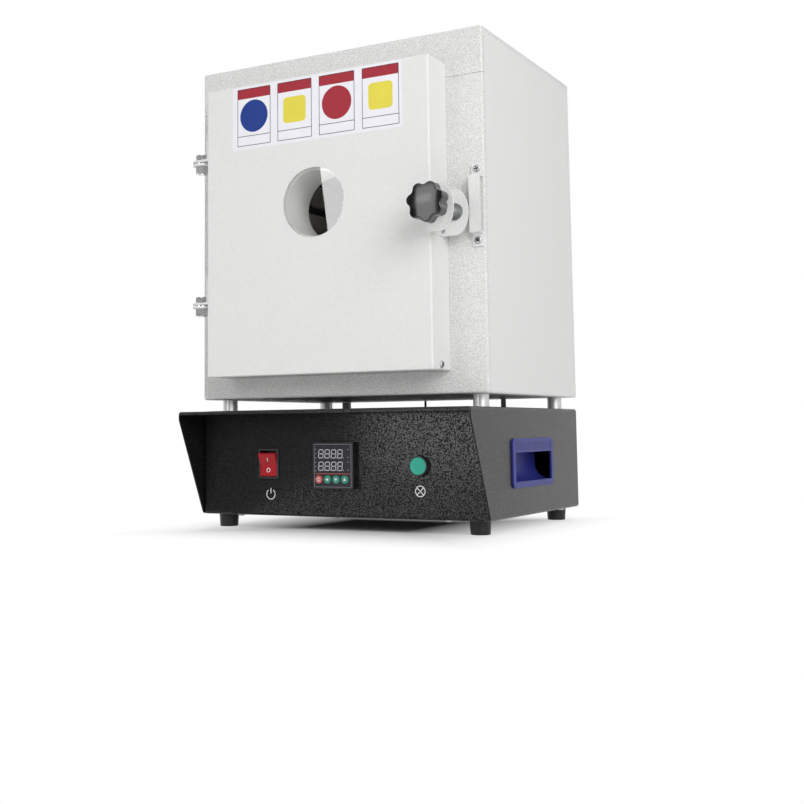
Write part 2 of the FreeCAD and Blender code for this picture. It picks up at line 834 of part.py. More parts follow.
def make_chamber_rear_wall():
    half = half_mouth + wall_board
    wall = block(-half, half, chamber_back, board_back, mouth_bottom - wall_board, mouth_top + wall_board)
    heights = coil_heights()
    for side in (-1, 1):
        for z in (heights[0], heights[-1]):
            wall = wall.cut(rod(coil_radius + fit, (side * coil_x, chamber_back - 1, z), (0, 1, 0),
                                rear_board + 2))
    hole = rod(thermocouple_radius + fit, (thermocouple_x, chamber_back - 1, thermocouple_z), (0, 1, 0),
               rear_board + 2)
    return wall.cut(hole)


def make_backing_insulation():
    low, high = mouth_bottom - wall_board, mouth_top + wall_board
    inner = half_mouth + wall_board
    outer = half_base - side_air_gap
    half_floor = half_base - floor_backing_inset
    boards = [
        block(-half_floor, half_floor, board_front + housing_bend, board_back, housing_bottom + housing_sheet, low),
        block(-outer, outer, board_front, board_back, high, housing_top - roof_air_gap),
        block(-outer, -inner, board_front, board_back, low, high),
        block(inner, outer, board_front, board_back, low, high),
    ]
    return Part.makeCompound(boards)


def make_heating_coil(side):
    """Outer form of the wound coil: runs along the wall, with the tails out through the rear."""
    heights = coil_heights()
    bend = coil_radius * 1.55
    tail_end = board_back + coil_tail_reach
    points = [(coil_x, tail_end, heights[0]), (coil_x, coil_front, heights[0])]
    for index, z in enumerate(heights[1:], 1):
        turn_y = coil_front if index % 2 else coil_back
        points.append((coil_x, turn_y, z))
        next_y = coil_back if index % 2 else coil_front
        points.append((coil_x, tail_end if index == len(heights) - 1 else next_y, z))
    coil = swept_lead(points, coil_radius, bend)
    return coil if side > 0 else coil.mirror(V(0, 0, 0), V(1, 0, 0))


def make_coil_link():
    """Strap that joins the upper tails of the two coils behind the rear wall."""
    z = coil_heights()[-1]
    y0 = board_back + link_gap
    half = coil_x + link_end
    strap = block(-half, half, y0, y0 + link_sheet, z - link_half_height, z + link_half_height)
    for side in (-1, 1):
        strap = strap.cut(rod(coil_radius + running, (side * coil_x, y0 - 1, z), (0, 1, 0), link_sheet + 2))
    return strap


def make_thermocouple():
    width, depth, height = thermocouple_head
    head = block(thermocouple_x - width / 2, thermocouple_x + width / 2, board_back, board_back + depth,
                 thermocouple_z - height / 2, thermocouple_z + height / 2)
    sheath_front = chamber_back - thermocouple_reach
    start = (thermocouple_x, sheath_front + thermocouple_radius, thermocouple_z)
    sheath = rod(thermocouple_radius, start, (0, 1, 0), board_back - start[1])
    tip = Part.makeSphere(thermocouple_radius, V(*start))
    return joined([head, sheath, tip])


# Door

def window_bore(radius, y0, y1):
    return rod(radius, (window_x, y0, chamber_centre_z), (0, 1, 0), y1 - y0)


def bracket_screw_places():
    return [(bracket_back - bracket_screw_inset, latch_z + side * bracket_screw_step) for side in (-1, 1)]


door_screw_place = (door_front + door_screw_depth, door_bottom + door_screw_rise)


def make_door_skin():
    limits = (door_left, door_right, door_front, door_back, door_bottom, door_top)
    skin = folded_shell(limits, door_sheet, door_bend, open_sides=(3,))
    skin = skin.cut(window_bore(window_radius, door_front - 1, door_front + 5))
    for y, z in bracket_screw_places() + [door_screw_place]:
        skin = skin.cut(rod(screw_shank_radius + fit, (door_right - 3, y, z), (1, 0, 0), 4))
    return skin


def make_door_back_plate():
    inset = door_sheet + fit
    limits = (door_left + inset, door_right - inset, door_back - back_plate_flange, door_back,
              door_bottom + inset, door_top - inset)
    plate = folded_shell(limits, back_plate_sheet, back_plate_sheet + 0.5, open_sides=(2,))
    half = plug_width / 2 + fit
    plate = plate.cut(block(-half, half, door_back - 3, door_back + 1,
                            chamber_centre_z - half, chamber_centre_z + half))
    for y, z in bracket_screw_places() + [door_screw_place]:
        plate = plate.cut(rod(screw_shank_radius + fit, (door_right - 6, y, z), (1, 0, 0), 6))
    return plate


def make_door_insulation():
    inset = door_sheet + back_plate_sheet + 2 * fit + 0.4
    y1 = door_back - back_plate_sheet
    limits = (door_left + inset, door_right - inset, door_front + door_sheet, y1,
              door_bottom + inset, door_top - inset)
    body = rounded_block(limits, 1.5, (0, 1, 0))
    half = plug_width / 2
    plug = rounded_block((-half, half, y1 - 1, plug_face, chamber_centre_z - half,
                          chamber_centre_z + half), 2.5, (0, 1, 0))
    block_shape = joined([body, plug])
    block_shape = block_shape.cut(window_bore(glass_radius + seat_gap, door_front, plug_face + 1))
    for y, z in bracket_screw_places() + [door_screw_place]:
        reach = (door_right - inset - 6, y, z)
        block_shape = block_shape.cut(rod(screw_shank_radius + fit, reach, (1, 0, 0), 8))
    return block_shape


def make_window_glass():
    y0 = door_front + door_sheet
    return window_bore(glass_radius, y0, y0 + glass_thickness)


def make_window_tube():
    y0 = door_front + door_sheet + glass_thickness + glass_seat
    outer = window_bore(glass_radius, y0, plug_face)
    return outer.cut(window_bore(tube_bore_radius, y0 - 1, plug_face + 1))


# Hinges

def hinge_levels(height):
    """Underside of the body tab, underside of the door tab and the top of the door tab."""
    body_tab = height - hinge_tab - hinge_washer / 2
    door_tab = height + hinge_washer / 2
    return body_tab, door_tab, door_tab + hinge_tab


def hinge_tab_shape(end_x, end_y, z):
    """Tab with a round end on the hinge axis, running to the plate that carries it."""
    r = hinge_tab_radius
    round_end = rod(r, (hinge_x, hinge_y, z), (0, 0, 1), hinge_tab)
    if end_y is None:
        run = block(hinge_x, end_x, hinge_y - r, hinge_y + r, z, z + hinge_tab)
    else:
        run = block(hinge_x - r, hinge_x + r, hinge_y, end_y, z, z + hinge_tab)
    return round_end.fuse(run)


def make_body_hinge_brackets():
    brackets = []
    r = hinge_tab_radius
    for height in hinge_heights:
        z = hinge_levels(height)[0]
        tab = hinge_tab_shape(None, housing_front, z)
        leaf = block(hinge_x - r, hinge_x + r, housing_front - hinge_tab, housing_front,
                     z + hinge_tab - hinge_leaf_height, z + hinge_tab)
        bracket = joined([tab, leaf])
        hole = rod(hinge_bolt_radius + fit / 2, (hinge_x, hinge_y, z - 1), (0, 0, 1), hinge_tab + 2)
        brackets.append(bracket.cut(hole))
    return Part.makeCompound(brackets)


def make_door_hinge_brackets():
    brackets = []
    r = hinge_tab_radius - 1
    for height in hinge_heights:
        z = hinge_levels(height)[1]
        tab = hinge_tab_shape(door_left, None, z)
        leaf = block(door_left - hinge_tab, door_left, hinge_y - r, hinge_y + r, z,
                     z + hinge_leaf_height)
        bracket = joined([tab, leaf])
        hole = rod(hinge_bolt_radius + running, (hinge_x, hinge_y, z - 1), (0, 0, 1), hinge_tab + 2)
        brackets.append(bracket.cut(hole))
    return Part.makeCompound(brackets)


def make_hinge_bolts():
    bolts = []
    for height in hinge_heights:
        body_tab, _, top = hinge_levels(height)
        seat = top + seat_gap
        bottom = body_tab - hinge_nut_height - 1.2
        shank = rod(hinge_bolt_radius, (hinge_x, hinge_y, bottom), (0, 0, 1), seat - bottom)
        head = hexagon((hinge_x, hinge_y, seat), hex_across_flats, hinge_head_height)
        bolts.append(joined([shank, head]))
    return Part.makeCompound(bolts)


def make_hinge_nuts():
    """Nut under each body tab, and the washer that carries the door tab."""
    pieces = []
    for height in hinge_heights:
        body_tab, door_tab, _ = hinge_levels(height)
        nut = hexagon((hinge_x, hinge_y, body_tab), hex_across_flats, hinge_nut_height)
        nut.translate(V(0, 0, -hinge_nut_height))
        pieces.append(nut.cut(rod(hinge_bolt_radius + running / 2, (hinge_x, hinge_y, body_tab - 20),
                                  (0, 0, 1), 21)))
        top = body_tab + hinge_tab
        pieces.append(tube(hinge_tab_radius - 1.6, hinge_bolt_radius + running / 2,
                           (hinge_x, hinge_y, top), (0, 0, 1), door_tab - top - seat_gap / 2))
    return Part.makeCompound(pieces)


# Latch

def make_latch_bracket():
    """Channel on the door's edge: a web on the door and two round nosed ears for the shaft."""
    web = block(door_right, door_right + bracket_sheet, bracket_front, bracket_back,
                latch_z - bracket_half_height, latch_z + bracket_half_height)
    pieces = [web]
    for y in (bracket_front, bracket_back - bracket_sheet):
        plate = block(door_right, latch_x, y, y + bracket_sheet,
                      latch_z - bracket_half_height, latch_z + bracket_half_height)
        nose = Part.Ellipse(V(latch_x, y, latch_z + bracket_half_height), V(latch_x + bracket_nose, y, latch_z),
                            V(latch_x, y, latch_z))
        disc = Part.Face(Part.Wire(nose.toShape())).extrude(V(0, bracket_sheet, 0))
        pieces += [plate, disc]
    bracket = joined(pieces)
    length = bracket_back - bracket_front + 2
    bracket = bracket.cut(rod(shaft_radius + running, (latch_x, bracket_front - 1, latch_z), (0, 1, 0), length))
    for y, z in bracket_screw_places():
        bracket = bracket.cut(rod(screw_shank_radius + fit, (door_right - 1, y, z), (1, 0, 0), 4))
    return bracket


def make_latch_screws():
    """Two screws of the bracket and the screw that holds the door skin to the back plate."""
    screws = [pan_screw((door_right + bracket_sheet, y, z), (1, 0, 0), bracket_sheet + 6)
              for y, z in bracket_screw_places()]
    y, z = door_screw_place
    screws.append(pan_screw((door_right, y, z), (1, 0, 0), 7))
    return Part.makeCompound(screws)


tongue_back = housing_front - (strike_standoff - strike_sheet) / 2 + tongue_thickness / 2 + 0.4
tongue_front = tongue_back - tongue_thickness
spacer_front = bracket_back + seat_gap


def make_latch_shaft():
    start = knob_front + knob_thickness * 0.5
    shaft = rod(shaft_radius, (latch_x, start, latch_z), (0, 1, 0), tongue_back - start)
    end = Part.makeCone(shaft_radius + 1.6, shaft_radius + 0.6, 1.4, V(latch_x, tongue_back, latch_z), V(0, 1, 0))
    return shaft.fuse(end)


def lobe_outline(y):
    """Star outline of round lobes and hollow valleys that run into each other."""
    step = math.pi / knob_lobes
    lobe_at = knob_radius - knob_lobe_radius
    gap = knob_lobe_radius + knob_valley_radius
    b = 2 * lobe_at * math.cos(step)
    valley_at = (b + math.sqrt(b * b - 4 * (lobe_at ** 2 - gap ** 2))) / 2

    def at(distance, angle):
        return V(latch_x + distance * math.sin(angle), y, latch_z + distance * math.cos(angle))

    def meeting(lobe_angle, valley_angle):
        lobe, valley = at(lobe_at, lobe_angle), at(valley_at, valley_angle)
        return lobe + (valley - lobe) * (knob_lobe_radius / gap)

    edges = []
    for index in range(knob_lobes):
        angle = 2 * step * index + math.radians(knob_turned)
        left, right = meeting(angle, angle - step), meeting(angle, angle + step)
        following = meeting(angle + 2 * step, angle + step)
        edges.append(Part.Arc(left, at(knob_radius, angle), right).toShape())
        edges.append(Part.Arc(right, at(valley_at - knob_valley_radius, angle + step), following).toShape())
    return Part.Wire(edges)


def make_star_knob():
    star = Part.Face(lobe_outline(knob_front)).extrude(V(0, knob_thickness, 0))
    star = star.common(Part.makeSphere(knob_dome_radius, V(latch_x, knob_front + knob_dome_radius, latch_z)))
    front = [edge for edge in star.Edges if edge.BoundBox.YMax < knob_front + knob_thickness / 2]
    back = [edge for edge in star.Edges if edge.BoundBox.YMin > knob_front + knob_thickness - 0.01]
    star = star.makeFillet(knob_edge, front + back)
    hub_start = knob_front + knob_thickness - 0.5
    hub = Part.makeCone(knob_hub_radius + 2.5, knob_hub_radius - 1, knob_back - hub_start,
                        V(latch_x, hub_start, latch_z), V(0, 1, 0))
    knob = joined([star, hub])
    bore_start = knob_front + knob_thickness * 0.5
    bore = rod(shaft_radius, (latch_x, bore_start, latch_z), (0, 1, 0), knob_thickness + knob_hub_length)
    return knob.cut(bore)


def make_latch_collar():
    """Washer and nut on the shaft in front of the rear ear."""
    back = bracket_back - bracket_sheet - seat_gap
    washer = tube(collar_radius, shaft_radius, (latch_x, back - collar_thickness, latch_z), (0, 1, 0),
                  collar_thickness)
    nut = tube(shaft_radius + 1.6, shaft_radius, (latch_x, back - collar_thickness - 6, latch_z), (0, 1, 0), 6)
    spacer = tube(spacer_radius, shaft_radius, (latch_x, spacer_front, latch_z), (0, 1, 0),
                  tongue_front - spacer_front)
    return Part.makeCompound([washer.fuse(nut), spacer])


def make_latch_tongue():
    """Cam plate: it stands up when the latch is free, and turns to the right behind the strike."""
    y0, y1 = tongue_front, tongue_back
    tip_z = latch_z + tongue_reach - tongue_half_width
    hub = rod(tongue_half_width + 1.5, (latch_x, y0, latch_z), (0, 1, 0), y1 - y0)
    arm = block(latch_x - tongue_half_width, latch_x + tongue_half_width, y0, y1, latch_z, tip_z)
    tip = rod(tongue_half_width, (latch_x, y0, tip_z), (0, 1, 0), y1 - y0)
    tongue = joined([hub, arm, tip])
    return tongue.cut(rod(shaft_radius, (latch_x, y0 - 1, latch_z), (0, 1, 0), y1 - y0 + 2))


def strike_screw_heights():
    return [strike_bottom - strike_tab * 0.54, strike_top + strike_tab * 0.54]


def strike_middle():
    return (strike_left + strike_right) / 2


def make_strike_strap():
    """Bridge shaped strap: a tab at each end and a raised middle for the tongue to go behind."""
    face, seat = housing_front - strike_standoff, housing_front
    corners = [(seat, strike_bottom - strike_tab), (seat, strike_bottom + strike_sheet),
               (face + strike_sheet, strike_bottom + strike_sheet), (face + strike_sheet, strike_top - strike_sheet),
               (seat, strike_top - strike_sheet), (seat, strike_top + strike_tab)]
    strap = bent_strip(corners, strike_sheet, 0.6).extrude(V(strike_width, 0, 0))
    strap.translate(V(strike_left, 0, 0))
    for z in strike_screw_heights():
        hole = rod(screw_shank_radius + fit, (strike_middle(), seat - 5, z), (0, 1, 0), 8)
        strap = strap.cut(hole)
    return strap


# Controls

rocker_pivot_y = hood_reach - switch_bezel + rocker_pivot_depth


def make_switch_housing():
    front = hood_reach - switch_bezel
    half_w, half_h = switch_width / 2, switch_height / 2
    bezel = rounded_block((switch_x - half_w, switch_x + half_w, front, hood_reach,
                           switch_z - half_h, switch_z + half_h), 1.6, (0, 1, 0))
    rim = [edge for edge in bezel.Edges if edge.BoundBox.YMax < front + 0.01]
    bezel = bezel.makeFillet(0.6, rim)
    body = block(switch_x - half_w + switch_wall, switch_x + half_w - switch_wall, hood_reach,
                 hood_reach + switch_body_depth, switch_z - half_h + switch_wall, switch_z + half_h - switch_wall)
    cavity_w = rocker_width / 2 + 0.3
    cavity = block(switch_x - cavity_w, switch_x + cavity_w, front - 1, rocker_pivot_y + 7,
                   switch_z - rocker_sweep, switch_z + rocker_sweep)
    housing = joined([bezel, body]).cut(cavity)
    pin = rod(rocker_pin_radius + running, (switch_x - cavity_w - 0.8, rocker_pivot_y, switch_z), (1, 0, 0),
              2 * cavity_w + 1.6)
    return housing.cut(pin)


def make_rocker_button():
    """Rocker with two slanted faces. At rest the lower half is pressed and the upper half stands out."""
    h, slope = rocker_half_height, math.tan(math.radians(rocker_tilt))
    y, z = rocker_pivot_y, switch_z
    front = -rocker_pivot_depth + 0.2
    end = front - h * slope
    profile = [(y + end, z + h), (y + front, z), (y + end, z - h), (y + end + 4.6, z - h),
               (y + 3.0, z - 4.5), (y + 3.0, z + 4.5), (y + end + 4.6, z + h)]
    half = rocker_width / 2
    rocker = polygon_yz(profile, switch_x - half, switch_x + half)
    ends = [edge for edge in edges_along(rocker, (1, 0, 0)) if edge.BoundBox.YMax < y + end + 0.01]
    rocker = rocker.makeFillet(0.9, ends)
    pin = rod(rocker_pin_radius, (switch_x - half - 1.0, y, z), (1, 0, 0), rocker_width + 2.0)
    rocker = rocker.fuse(pin)
    rocker.rotate(V(switch_x, y, z), V(1, 0, 0), rocker_tilt)
    return rocker


def controller_front():
    return hood_reach - controller_proud


def make_controller_housing():
    half, body_half = controller_size / 2, controller_body / 2
    front = controller_front()
    bezel = block(controller_x - half, controller_x + half, front, hood_reach, device_z - half, device_z + half)
    bezel = bezel.makeFillet(1.2, edges_along(bezel, (0, 1, 0)))
    rim = [edge for edge in bezel.Edges if edge.BoundBox.YMax < front + 0.01]
    bezel = bezel.makeFillet(0.8, rim)
    body = block(controller_x - body_half, controller_x + body_half, hood_reach,
                 hood_reach + controller_length, device_z - body_half, device_z + body_half)
    plate_half = half - controller_plate_margin
    recess = block(controller_x - plate_half, controller_x + plate_half, front - 1,
                   front + controller_plate_thickness, device_z - plate_half, device_z + plate_half)
    housing = joined([bezel, body]).cut(recess)
    for x, z in key_places:
        housing = housing.cut(rod(key_radius + running, (x, front, z), (0, 1, 0), key_length + key_travel + 0.6))
    return housing


def make_controller_plate():
    half = controller_size / 2 - controller_plate_margin - 0.1
    front = controller_front()
    plate = block(controller_x - half, controller_x + half, front, front + controller_plate_thickness,
                  device_z - half, device_z + half)
    for x, z in key_places:
        plate = plate.cut(rod(key_radius + running, (x, front - 1, z), (0, 1, 0), 4))
    return plate


def make_key(index):
    x, z = key_places[index]
    start = controller_front() - key_travel
    key = rod(key_radius, (x, start, z), (0, 1, 0), key_length)
    rim = [edge for edge in key.Edges if edge.BoundBox.YMax < start + 0.01]
    return key.makeFillet(0.5, rim)


def make_lamp_bezel():
    """Round bezel in front of the panel, threaded barrel and nut behind it."""
    front = hood_reach - lamp_bezel_height
    bezel = Part.makeCone(lamp_bezel_radius - 0.8, lamp_bezel_radius, lamp_bezel_height,
                          V(lamp_x, front, device_z), V(0, 1, 0))
    barrel = rod(lamp_barrel_radius, (lamp_x, hood_reach, device_z), (0, 1, 0), lamp_barrel_length)
    nut = hexagon((0, 0, 0), 20.0, 4.0)
    nut.rotate(V(0, 0, 0), V(1, 0, 0), -90)
    nut.translate(V(lamp_x, hood_reach + base_sheet, device_z))
    lamp = joined([bezel, barrel, nut])
    seat = rod(lamp_lens_radius + fit / 2, (lamp_x, front - 1, device_z), (0, 1, 0), lamp_bezel_height)
    return lamp.cut(seat)


def make_lamp_lens():
    """Lens with a gently domed face, set into the bezel."""
    back = hood_reach - 1
    front = hood_reach - lamp_bezel_height - 0.4
    lens = rod(lamp_lens_radius, (lamp_x, front, device_z), (0, 1, 0), back - front)
    rim = [edge for edge in lens.Edges if edge.BoundBox.YMax < front + 0.01]
    return lens.makeFillet(0.7, rim)


# Power inlet and the electrical pieces inside the base

def make_inlet_housing():
    seat = base_depth - base_sheet
    face = seat + inlet_flange_thickness
    w, h = inlet_flange[0] / 2, inlet_flange[1] / 2
    flange = rounded_block((inlet_x - w, inlet_x + w, seat, face, inlet_z - h, inlet_z + h), 4.0, (0, 1, 0))
    bw, bh = inlet_body[0] / 2, inlet_body[1] / 2
    body = block(inlet_x - bw, inlet_x + bw, seat - inlet_body_depth, seat, inlet_z - bh, inlet_z + bh)
    mw, mh = inlet_mouth[0] / 2, inlet_mouth[1] / 2
    mouth = block(inlet_x - mw, inlet_x + mw, face - inlet_mouth_depth, face + 1, inlet_z - mh, inlet_z + mh)
    upper = [edge for edge in edges_along(mouth, (0, 1, 0)) if edge.BoundBox.ZMin > inlet_z]
    mouth = mouth.makeChamfer(5.0, upper)
    housing = joined([flange, body]).cut(mouth)
    for x in inlet_screw_xs:
        housing = housing.cut(rod(screw_shank_radius + fit, (x, seat - 1, inlet_z), (0, 1, 0), 6))
    for x, z in inlet_pin_places():
        housing = housing.cut(pin_block(x, z, seat - inlet_body_depth - 1, face - inlet_mouth_depth + 1))
    return housing


def inlet_pin_places():
    return [(inlet_x - pin_spread, inlet_z - 2.0), (inlet_x, inlet_z + 2.0), (inlet_x + pin_spread, inlet_z - 2.0)]


def pin_block(x, z, y0, y1):
    w, h = pin_size[0] / 2, pin_size[1] / 2
    return block(x - w, x + w, y0, y1, z - h, z + h)


def make_inlet_pins():
    seat = base_depth - base_sheet
    tip = seat + inlet_flange_thickness - pin_setback
    start = seat - inlet_body_depth - 8
    pins = []
    for x, z in inlet_pin_places():
        pin = pin_block(x, z, start, tip)
        end = [edge for edge in pin.Edges if edge.BoundBox.YMin > tip - 0.01]
        pins.append(pin.makeChamfer(0.6, end))
    return Part.makeCompound(pins)


sink_centre = (half_base - inner_side_room, hood_reach + sink_place)
floor_level = base_bottom + 2 * base_sheet


def make_heat_sink():
    """Finned sink: upright fins under a plate that carries the relay."""
    x, y = sink_centre
    half_w, half_l = sink_width / 2, sink_length / 2
    top = floor_level + sink_height
    plate = block(x - half_w, x + half_w, y - half_l, y + half_l, top - sink_plate, top)
    fins = [block(fin_x - 1, fin_x + 1, y - half_l, y + half_l, floor_level, top - sink_plate)
            for fin_x in along(x - half_w + 1, x + half_w - 1, sink_fins)]
    return joined([plate] + fins)


def make_relay():
    x, y = sink_centre
    w, l, h = relay_size
    z = floor_level + sink_height
    relay = rounded_block((x - w / 2, x + w / 2, y - l / 2, y + l / 2, z, z + h), 2.0, (0, 0, 1))
    for side in (-1, 1):
        ends = sorted((y + side * (l / 2 + 1), y + side * (l / 2 - relay_slot)))
        for slot in ((x - w / 2 + 4, x - 2), (x + 2, x + w / 2 - 4)):
            relay = relay.cut(block(*slot, *ends, z + h - relay_slot_depth, z + h + 1))
    return relay


def make_terminal_block():
    x, y, z = -half_base + inner_side_room, hood_reach + terminal_place, floor_level
    w, l, h = terminal_size
    base = block(x - w / 2, x + w / 2, y - l / 2, y + l / 2, z, z + h * 0.5)
    ribs = [block(rib_x - 1, rib_x + 1, y - l / 2, y + l / 2, z + h * 0.5, z + h)
            for rib_x in along(x - w / 2 + 1, x + w / 2 - 1, 5)]
    return joined([base] + ribs)


nodes = {
    "base_shell": make_base_shell(),
    "control_panel": make_control_panel(),
    "base_floor": make_base_floor(),
    "base_rear_panel": make_base_rear_panel(),
    "rubber_feet": make_rubber_feet(),
    "base_screws": make_base_screws(),
    "handle_left": make_handle(-1),
    "handle_right": make_handle(1),
    "spacer_posts": make_spacer_posts(),
    "post_bolts": make_post_bolts(),
    "chamber_leads": make_chamber_leads(),
    "earth_wire": make_earth_wire(),
    "front_panel": make_front_panel(),
    "top_cover": make_top_cover(),
    "side_panel_left": make_side_panel(-1),
    "side_panel_right": make_side_panel(1),
    "housing_floor": make_housing_floor(),
    "rear_cover": make_rear_cover(),
    "casing_screws": make_casing_screws(),
    "chamber_floor": make_chamber_floor(),
    "chamber_roof": make_chamber_roof(),
    "chamber_wall_left": make_chamber_wall(-1),
    "chamber_wall_right": make_chamber_wall(1),
    "chamber_rear_wall": make_chamber_rear_wall(),
    "backing_insulation": make_backing_insulation(),
    "heating_coil_left": make_heating_coil(-1),
    "heating_coil_right": make_heating_coil(1),
    "coil_link": make_coil_link(),
    "thermocouple": make_thermocouple(),
    "door_skin": make_door_skin(),
    "door_back_plate": make_door_back_plate(),
    "door_insulation": make_door_insulation(),
    "window_glass": make_window_glass(),
    "window_tube": make_window_tube(),
    "body_hinge_brackets": make_body_hinge_brackets(),
    "door_hinge_brackets": make_door_hinge_brackets(),
    "hinge_bolts": make_hinge_bolts(),
    "hinge_nuts": make_hinge_nuts(),
    "latch_bracket": make_latch_bracket(),
    "latch_screws": make_latch_screws(),
    "latch_shaft": make_latch_shaft(),
    "star_knob": make_star_knob(),
    "latch_collar": make_latch_collar(),
    "latch_tongue": make_latch_tongue(),
    "strike_strap": make_strike_strap(),
    "switch_housing": make_switch_housing(),
    "rocker_button": make_rocker_button(),
    "controller_housing": make_controller_housing(),
    "controller_plate": make_controller_plate(),
    "lamp_bezel": make_lamp_bezel(),
    "lamp_lens": make_lamp_lens(),
    "inlet_housing": make_inlet_housing(),
    "inlet_pins": make_inlet_pins(),
    "heat_sink": make_heat_sink(),
    "solid_state_relay": make_relay(),
    "terminal_block": make_terminal_block(),
}
for index, name in enumerate(("key_set", "key_left", "key_down", "key_up")):
    nodes[name] = make_key(index)

os.makedirs("parts", exist_ok=True)
for name, shape in nodes.items():
    shape.translate(V(0, -box_centre_y, 0))
    shape.exportStep("parts/" + name + ".step")
print(len(nodes), "nodes written")
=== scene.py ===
import bpy
import bmesh
import json
import math
from mathutils import Matrix, Vector


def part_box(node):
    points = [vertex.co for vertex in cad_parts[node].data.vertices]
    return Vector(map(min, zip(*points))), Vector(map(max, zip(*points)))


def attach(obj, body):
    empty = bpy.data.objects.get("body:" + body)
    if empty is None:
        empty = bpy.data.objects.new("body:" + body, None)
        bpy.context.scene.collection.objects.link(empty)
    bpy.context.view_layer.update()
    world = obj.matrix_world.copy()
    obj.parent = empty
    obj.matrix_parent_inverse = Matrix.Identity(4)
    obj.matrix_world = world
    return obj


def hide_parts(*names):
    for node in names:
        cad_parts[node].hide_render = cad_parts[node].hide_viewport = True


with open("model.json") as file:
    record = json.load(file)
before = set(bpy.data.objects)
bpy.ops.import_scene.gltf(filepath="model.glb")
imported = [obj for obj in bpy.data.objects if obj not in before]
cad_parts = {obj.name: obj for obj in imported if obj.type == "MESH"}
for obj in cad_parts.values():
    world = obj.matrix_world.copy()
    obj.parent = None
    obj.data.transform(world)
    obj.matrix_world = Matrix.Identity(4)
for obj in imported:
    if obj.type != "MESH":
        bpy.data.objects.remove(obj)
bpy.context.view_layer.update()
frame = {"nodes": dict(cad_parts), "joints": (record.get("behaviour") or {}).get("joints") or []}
scene = bpy.context.scene
print("frame loaded:", len(frame["nodes"]), "nodes")

mm = 0.001


# shader sums written as plain expressions
class Signal:
    def __init__(self, paint, socket):
        self.paint = paint
        self.socket = socket

    def maths(self, operation, *others):
        values = dict(enumerate((self,) + others))
        return self.paint.node("ShaderNodeMath", {"operation": operation}, values)

    def __add__(self, other):
        return self.maths("ADD", other)

    def __mul__(self, other):
        return self.maths("MULTIPLY", other)

    def __sub__(self, other):
        return self.maths("SUBTRACT", other)

    def __rsub__(self, other):
        return self.paint.node("ShaderNodeMath", {"operation": "SUBTRACT"}, {0: other, 1: self})

    def __gt__(self, other):
        return self.maths("GREATER_THAN", other)

    __radd__ = __add__
    __rmul__ = __mul__


class Paint:
    def __init__(self, name, owner=None):
        self.material = owner or bpy.data.materials.new(name)
        self.material.use_nodes = True
        self.tree = self.material.node_tree
        self.tree.nodes.clear()
        if owner is None:
            self.place = self.node("ShaderNodeTexCoord", out="Object")

    def node(self, kind, settings=None, sockets=None, out=0):
        made = self.tree.nodes.new(kind)
        for key, value in (settings or {}).items():
            setattr(made, key, value)
        for key, value in (sockets or {}).items():
            if isinstance(value, Signal):
                self.tree.links.new(value.socket, made.inputs[key])
            else:
                made.inputs[key].default_value = value
        return Signal(self, made.outputs[out])

    def noise(self, scale, detail, roughness, place=None):
        return self.node("ShaderNodeTexNoise", None, {"Vector": place or self.place, "Scale": scale,
                                                      "Detail": detail, "Roughness": roughness})

    def stretched(self, x, y, z):
        return self.node("ShaderNodeMapping", None, {"Vector": self.place, "Scale": (x, y, z)})

    def level(self, signal, low, high, toLow=0.0, toHigh=1.0):
        return self.node("ShaderNodeMapRange", None, {"Value": signal, "From Min": low, "From Max": high,
                                                      "To Min": toLow, "To Max": toHigh})

    def blend(self, factor, first, second):
        first = (*first, 1) if isinstance(first, tuple) else first
        second = (*second, 1) if isinstance(second, tuple) else second
        return self.node("ShaderNodeMix", {"data_type": "RGBA"}, {0: factor, 6: first, 7: second}, out=2)

    def bump(self, height, distance, strength=1.0):
        return self.node("ShaderNodeBump", None, {"Height": height, "Distance": distance,
                                                  "Strength": strength})

    def finish(self, **sockets):
        named = {key.replace("_", " "): value for key, value in sockets.items()}
        colour = named.get("Base Color")
        if isinstance(colour, tuple):
            named["Base Color"] = (*colour, 1)
        shader = self.node("ShaderNodeBsdfPrincipled", None, named, out="BSDF")
        output = self.tree.nodes.new("ShaderNodeOutputMaterial")
        self.tree.links.new(shader.socket, output.inputs["Surface"])
        return self.material


def fromHex(code):
    parts = [int(code[i:i + 2], 16) / 255 for i in (1, 3, 5)]
    return tuple(c / 12.92 if c <= 0.04045 else ((c + 0.055) / 1.055) ** 2.4 for c in parts)


# powder coats: grain and coarse are counts per metre, depth is in metres; dipShade is painted shade, a darker
# colour laid in the low spots of the grain bump
coatLook = dict(
    cloud=9, toneRange=(0.38, 0.6), toneShare=0.85, sparkleRange=(0.46, 0.55),
    front=dict(top="#F4F4F3", dipShade="#C8C8C7", grain=1050, coarse=760, depth=0.001, roughness=0.52),
    door=dict(top="#ECECEB", dipShade="#E2E2E1", grain=1500, coarse=820, depth=0.0004, roughness=0.52),
    side=dict(top="#E9E9E8", dipShade="#E2E2E1", grain=1365, coarse=760, depth=0.00025, roughness=0.5),
    base=dict(top="#1A1A1B", dipShade="#060607", grain=900, coarse=660, depth=0.0003, roughness=0.3,
              gloss=0.25, glint=(0.0, 0.42)),
    # painted light: the panel copy of the black base coat has a lighter top colour, to brighten the lit front
    # of the base
    panel=dict(top="#212122", dipShade="#060607", grain=900, coarse=660, depth=0.0003, roughness=0.4,
               gloss=0.12, glint=(0.0, 1.0), clearRoughness=0.14))


